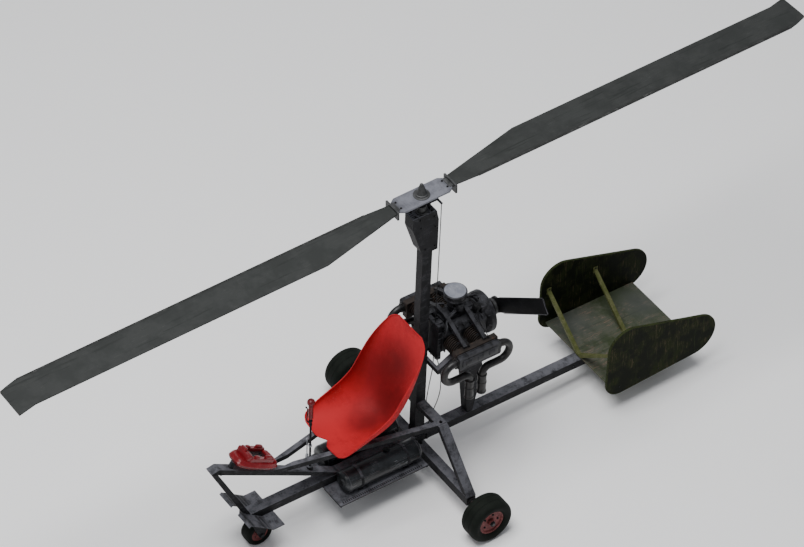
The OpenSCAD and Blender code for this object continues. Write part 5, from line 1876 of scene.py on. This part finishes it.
@dataclass
class Joints:
    """Weld beads, gussets, plugs and bolts of the tube frame."""

    bead: float = 3.2
    bead_sides: int = 8
    plate_x: float = 43.0

    def build(self) -> None:
        """Builds what joins the tubes."""
        keel_low, keel_high = DATUM.box("keel")
        mast_low, mast_high = DATUM.box("mast")
        arm_low, arm_high = DATUM.box("cross_arms")
        beam_low, beam_high = DATUM.box("axle_beam")
        rail_low, rail_high = DATUM.box("side_rail_left")
        post_low, post_high = DATUM.box("engine_post")
        beads, plates = Shape(), Shape()
        self._collar(beads, mast_low, mast_high, keel_high.z)
        foot_low = Vector((post_low.x, post_low.y + 40, 0))
        foot_high = Vector((post_high.x, post_low.y + 86, 0))
        self._collar(beads, foot_low, foot_high, keel_high.z)
        self._collar(beads, mast_low, mast_high, DATUM.box("mast_head")[0].z)
        for side in SIDES:
            x = side * mast_high.x
            for y in (arm_low.y, arm_high.y):
                beads.tube([(x, y, arm_low.z), (x, y, arm_high.z)], self.bead, self.bead_sides)
            for z in (arm_low.z, arm_high.z):
                beads.tube([(x, arm_low.y, z), (x, arm_high.y, z)], self.bead, self.bead_sides)
            x = side * arm_high.x
            for z in (arm_low.z, arm_high.z):
                beads.tube([(x, arm_low.y, z), (x, arm_high.y, z)], self.bead, self.bead_sides)
            near, far, z = side * (beam_high.x - 54), side * (beam_high.x - 2), beam_high.z
            for y in (beam_low.y, beam_high.y):
                beads.tube([(near, y, z), (far, y, z)], self.bead, self.bead_sides)
            beads.tube([(near, beam_low.y, z), (near, beam_high.y, z)], self.bead, self.bead_sides)
            cheek = side * self.plate_x + (3 if side > 0 else -3)
            plates.block((cheek - 3, mast_low.y - 34, keel_low.z + 8),
                         (cheek + 3, mast_high.y + 34, keel_high.z - 2), 2)
            foot = side * (mast_high.x + 2.5)
            plates.block((foot - 2.5, mast_low.y - 2, keel_high.z),
                         (foot + 2.5, mast_high.y + 2, keel_high.z + 70), 2)
        y = keel_high.y
        plates.block((keel_low.x - 1, y - 3, keel_low.z - 1), (keel_high.x + 1, y + 3, keel_high.z + 1), 3)
        beads.put("weld_beads", FRAME, crease=60)
        plates.put("joint_plates", FRAME)
        spots = []
        for side in SIDES:
            for y in (mast_low.y - 16, mast_high.y + 16):
                for z in (keel_low.z + 22, keel_high.z - 18):
                    spots.append(((side * 49, y, z), (side, 0, 0)))
            for y in (mast_low.y + 20, mast_high.y - 20):
                for z in (keel_high.z + 22, keel_high.z + 52):
                    spots.append(((side * (mast_high.x + 5), y, z), (side, 0, 0)))
            for z in (arm_low.z + 10, arm_high.z - 10):
                spots.append(((side * (arm_high.x - 20), arm_low.y + 40, arm_high.z), UP))
            spots.append(((side * 60, beam_low.y + 38, beam_high.z), UP))
            for y in (-660, -300):
                spots.append(((side * (rail_high.x * 0.5), y, rail_low.z), DOWN))
        riser_low, riser_high = DATUM.box("nose_riser")
        for side in SIDES:
            for y, z in ((riser_low.y + 40, riser_high.z - 36), (riser_low.y + 76, riser_high.z - 46)):
                spots.append(((side * riser_high.x, y, z), (side, 0, 0)))
            spots.append(((side * riser_high.x, riser_high.y - 40, keel_high.z + 40), (side, 0, 0)))
        Bolts("frame_bolt_tree", 14, spin=5).put(spots, "frame_bolts", BOLT)
        self._axles()

    def _collar(self, shape: Shape, low: Vector, high: Vector, z: float) -> None:
        """Runs a weld bead round a tube's foot."""
        corners = [(low.x, low.y), (high.x, low.y), (high.x, high.y), (low.x, high.y)]
        for i in range(4):
            (x0, y0), (x1, y1) = corners[i - 1], corners[i]
            shape.tube([(x0, y0, z), (x1, y1, z)], self.bead, self.bead_sides)

    @staticmethod
    def _axles() -> None:
        """Adds the axles' nuts and spacers."""
        _, high = DATUM.box("main_axles")
        rim_low, rim_high = DATUM.box("main_rim_left")
        nuts = Shape()
        beam = DATUM.box("axle_beam")[1].x
        for side in SIDES:
            at = across(side * (rim_high.x + 1.5), 0, 0, side)
            nuts.lathe([(AXLE_BORE, 0), (22, 0), (22, 3), (AXLE_BORE, 3)], at, 28, ring=True)
            nuts.lathe([(AXLE_BORE, 3), (18, 3), (18, 14), (AXLE_BORE, 14)], at, 6, ring=True)
            nuts.rod((side * (high.x - 3.5), 0, -16), (side * (high.x - 3.5), 0, 16), 1.8, 8)
            at = across(side * beam, 0, 0, side)
            gap = rim_low.x - beam - 8
            spacer = [(AXLE_BORE, 0), (30, 0), (30, 6), (20, 10), (18, gap), (AXLE_BORE, gap)]
            nuts.lathe(spacer, at, 32, ring=True)
        nuts.put("axle_nuts", BOLT)
        _, fork_high = DATUM.box("nose_fork")
        wheel_low, wheel_high = DATUM.box("nose_rim")
        y, z = (wheel_low.y + wheel_high.y) / 2, (wheel_low.z + wheel_high.z) / 2
        fork = Shape()
        cheek = fork_high.x - 12
        for side in SIDES:
            at = across(side * cheek, y, z, side)
            fork.lathe([(AXLE_BORE, 0), (21, 0), (21, 3), (AXLE_BORE, 3)], at, 24, ring=True)
            fork.lathe([(AXLE_BORE, 3), (18, 3), (18, 10), (AXLE_BORE, 10)], at, 6, ring=True)
            for end in SIDES:
                x = side * cheek
                fork.tube([(x, y + end * 66, z + 116), (x, y + end * 22, z + 2)], 3.0, 8)
        fork.put("fork_nuts_and_flanges", BOLT, "nose_fork_body")


# ---------------------------------------------------------------- stage


@dataclass(frozen=True)
class Studio:
    """The camera, the lights and the floor."""

    azimuth: float = 55.581
    elevation: float = 44.391
    distance: float = 28.1186
    lens: float = 180.18
    target: Point = (0.0, -0.1634, 1.9825)
    sky: float = 0.32
    floor_half: float = 60.0

    def build(self) -> None:
        """Sets the whole stage."""
        self._camera()
        self._lights()
        self._floor()

    def _camera(self) -> None:
        """Places the camera."""
        a, e = math.radians(self.azimuth), math.radians(self.elevation)
        back = Vector((math.sin(a) * math.cos(e), -math.cos(a) * math.cos(e), math.sin(e)))
        data = bpy.data.cameras.new("camera")
        data.lens, data.sensor_width = self.lens, 36.0
        data.clip_start, data.clip_end = 0.5, 200.0
        camera = bpy.data.objects.new("camera", data)
        camera.location = Vector(self.target) + back * self.distance
        camera.rotation_mode = "QUATERNION"
        camera.rotation_quaternion = (-back).to_track_quat("-Z", "Y")
        bpy.context.scene.collection.objects.link(camera)
        bpy.context.scene.camera = camera

    @staticmethod
    def _light(name: str, at: Point, aim: Point, size: float, power: float) -> None:
        """Adds a square area light aimed at a point."""
        data = bpy.data.lights.new(name, "AREA")
        data.shape, data.size, data.energy = "SQUARE", size, power
        lamp = bpy.data.objects.new(name, data)
        lamp.location = at
        lamp.rotation_mode = "QUATERNION"
        lamp.rotation_quaternion = (Vector(aim) - Vector(at)).to_track_quat("-Z", "Y")
        bpy.context.scene.collection.objects.link(lamp)

    def _lights(self) -> None:
        """Adds a broad top light, a soft front light and a pale sky."""
        self._light("top_light", (0.5, -3.0, 16.0), (0.0, 0.0, 0.5), 9.0, 3000.0)
        self._light("front_light", (2.0, -13.0, 9.0), (0.0, 0.0, 1.0), 5.0, 170.0)
        self._light("rear_light", (-8.0, 9.0, 6.0), (0.0, 0.5, 1.0), 5.0, 60.0)
        world = bpy.data.worlds.new("sky")
        world.use_nodes = True
        backdrop = world.node_tree.nodes["Background"]
        backdrop.inputs["Color"].default_value = (0.93, 0.95, 1.0, 1.0)
        backdrop.inputs["Strength"].default_value = self.sky
        bpy.context.scene.world = world

    def _floor(self) -> None:
        """Lays a pale floor."""
        half = self.floor_half
        data = bpy.data.meshes.new("floor")
        corners = [(-half, -half, 0), (half, -half, 0), (half, half, 0), (-half, half, 0)]
        data.from_pydata(corners, [], [(0, 1, 2, 3)])
        floor = bpy.data.objects.new("floor", data)
        paper = bpy.data.materials.new("pale_floor")
        paper.use_nodes = True
        shader = paper.node_tree.nodes["Principled BSDF"]
        shader.inputs["Base Color"].default_value = (0.93, 0.93, 0.93, 1.0)
        shader.inputs["Roughness"].default_value = 0.95
        data.materials.append(paper)
        bpy.context.scene.collection.objects.link(floor)


def main() -> None:
    logging.basicConfig(level=logging.INFO, format="%(message)s")
    Studio().build()
    Cables().build()
    dress_frame()
    Seat().build()
    wheels = (
        Wheel("left_wheel", "main_tyre_left", "main_rim_left", 1),
        Wheel("right_wheel", "main_tyre_right", "main_rim_right", -1),
        Wheel("nose_wheel", "nose_tyre", "nose_rim", 0),
    )
    for wheel in wheels:
        wheel.build()
    builders: Iterable[Any] = (
        Pod(), Stick(), Engine(), Propeller(), Rotor(), Tail(), Tanks(), Floor(), Joints(),
    )
    for builder in builders:
        builder.build()


if __name__ == "__main__":
    main()
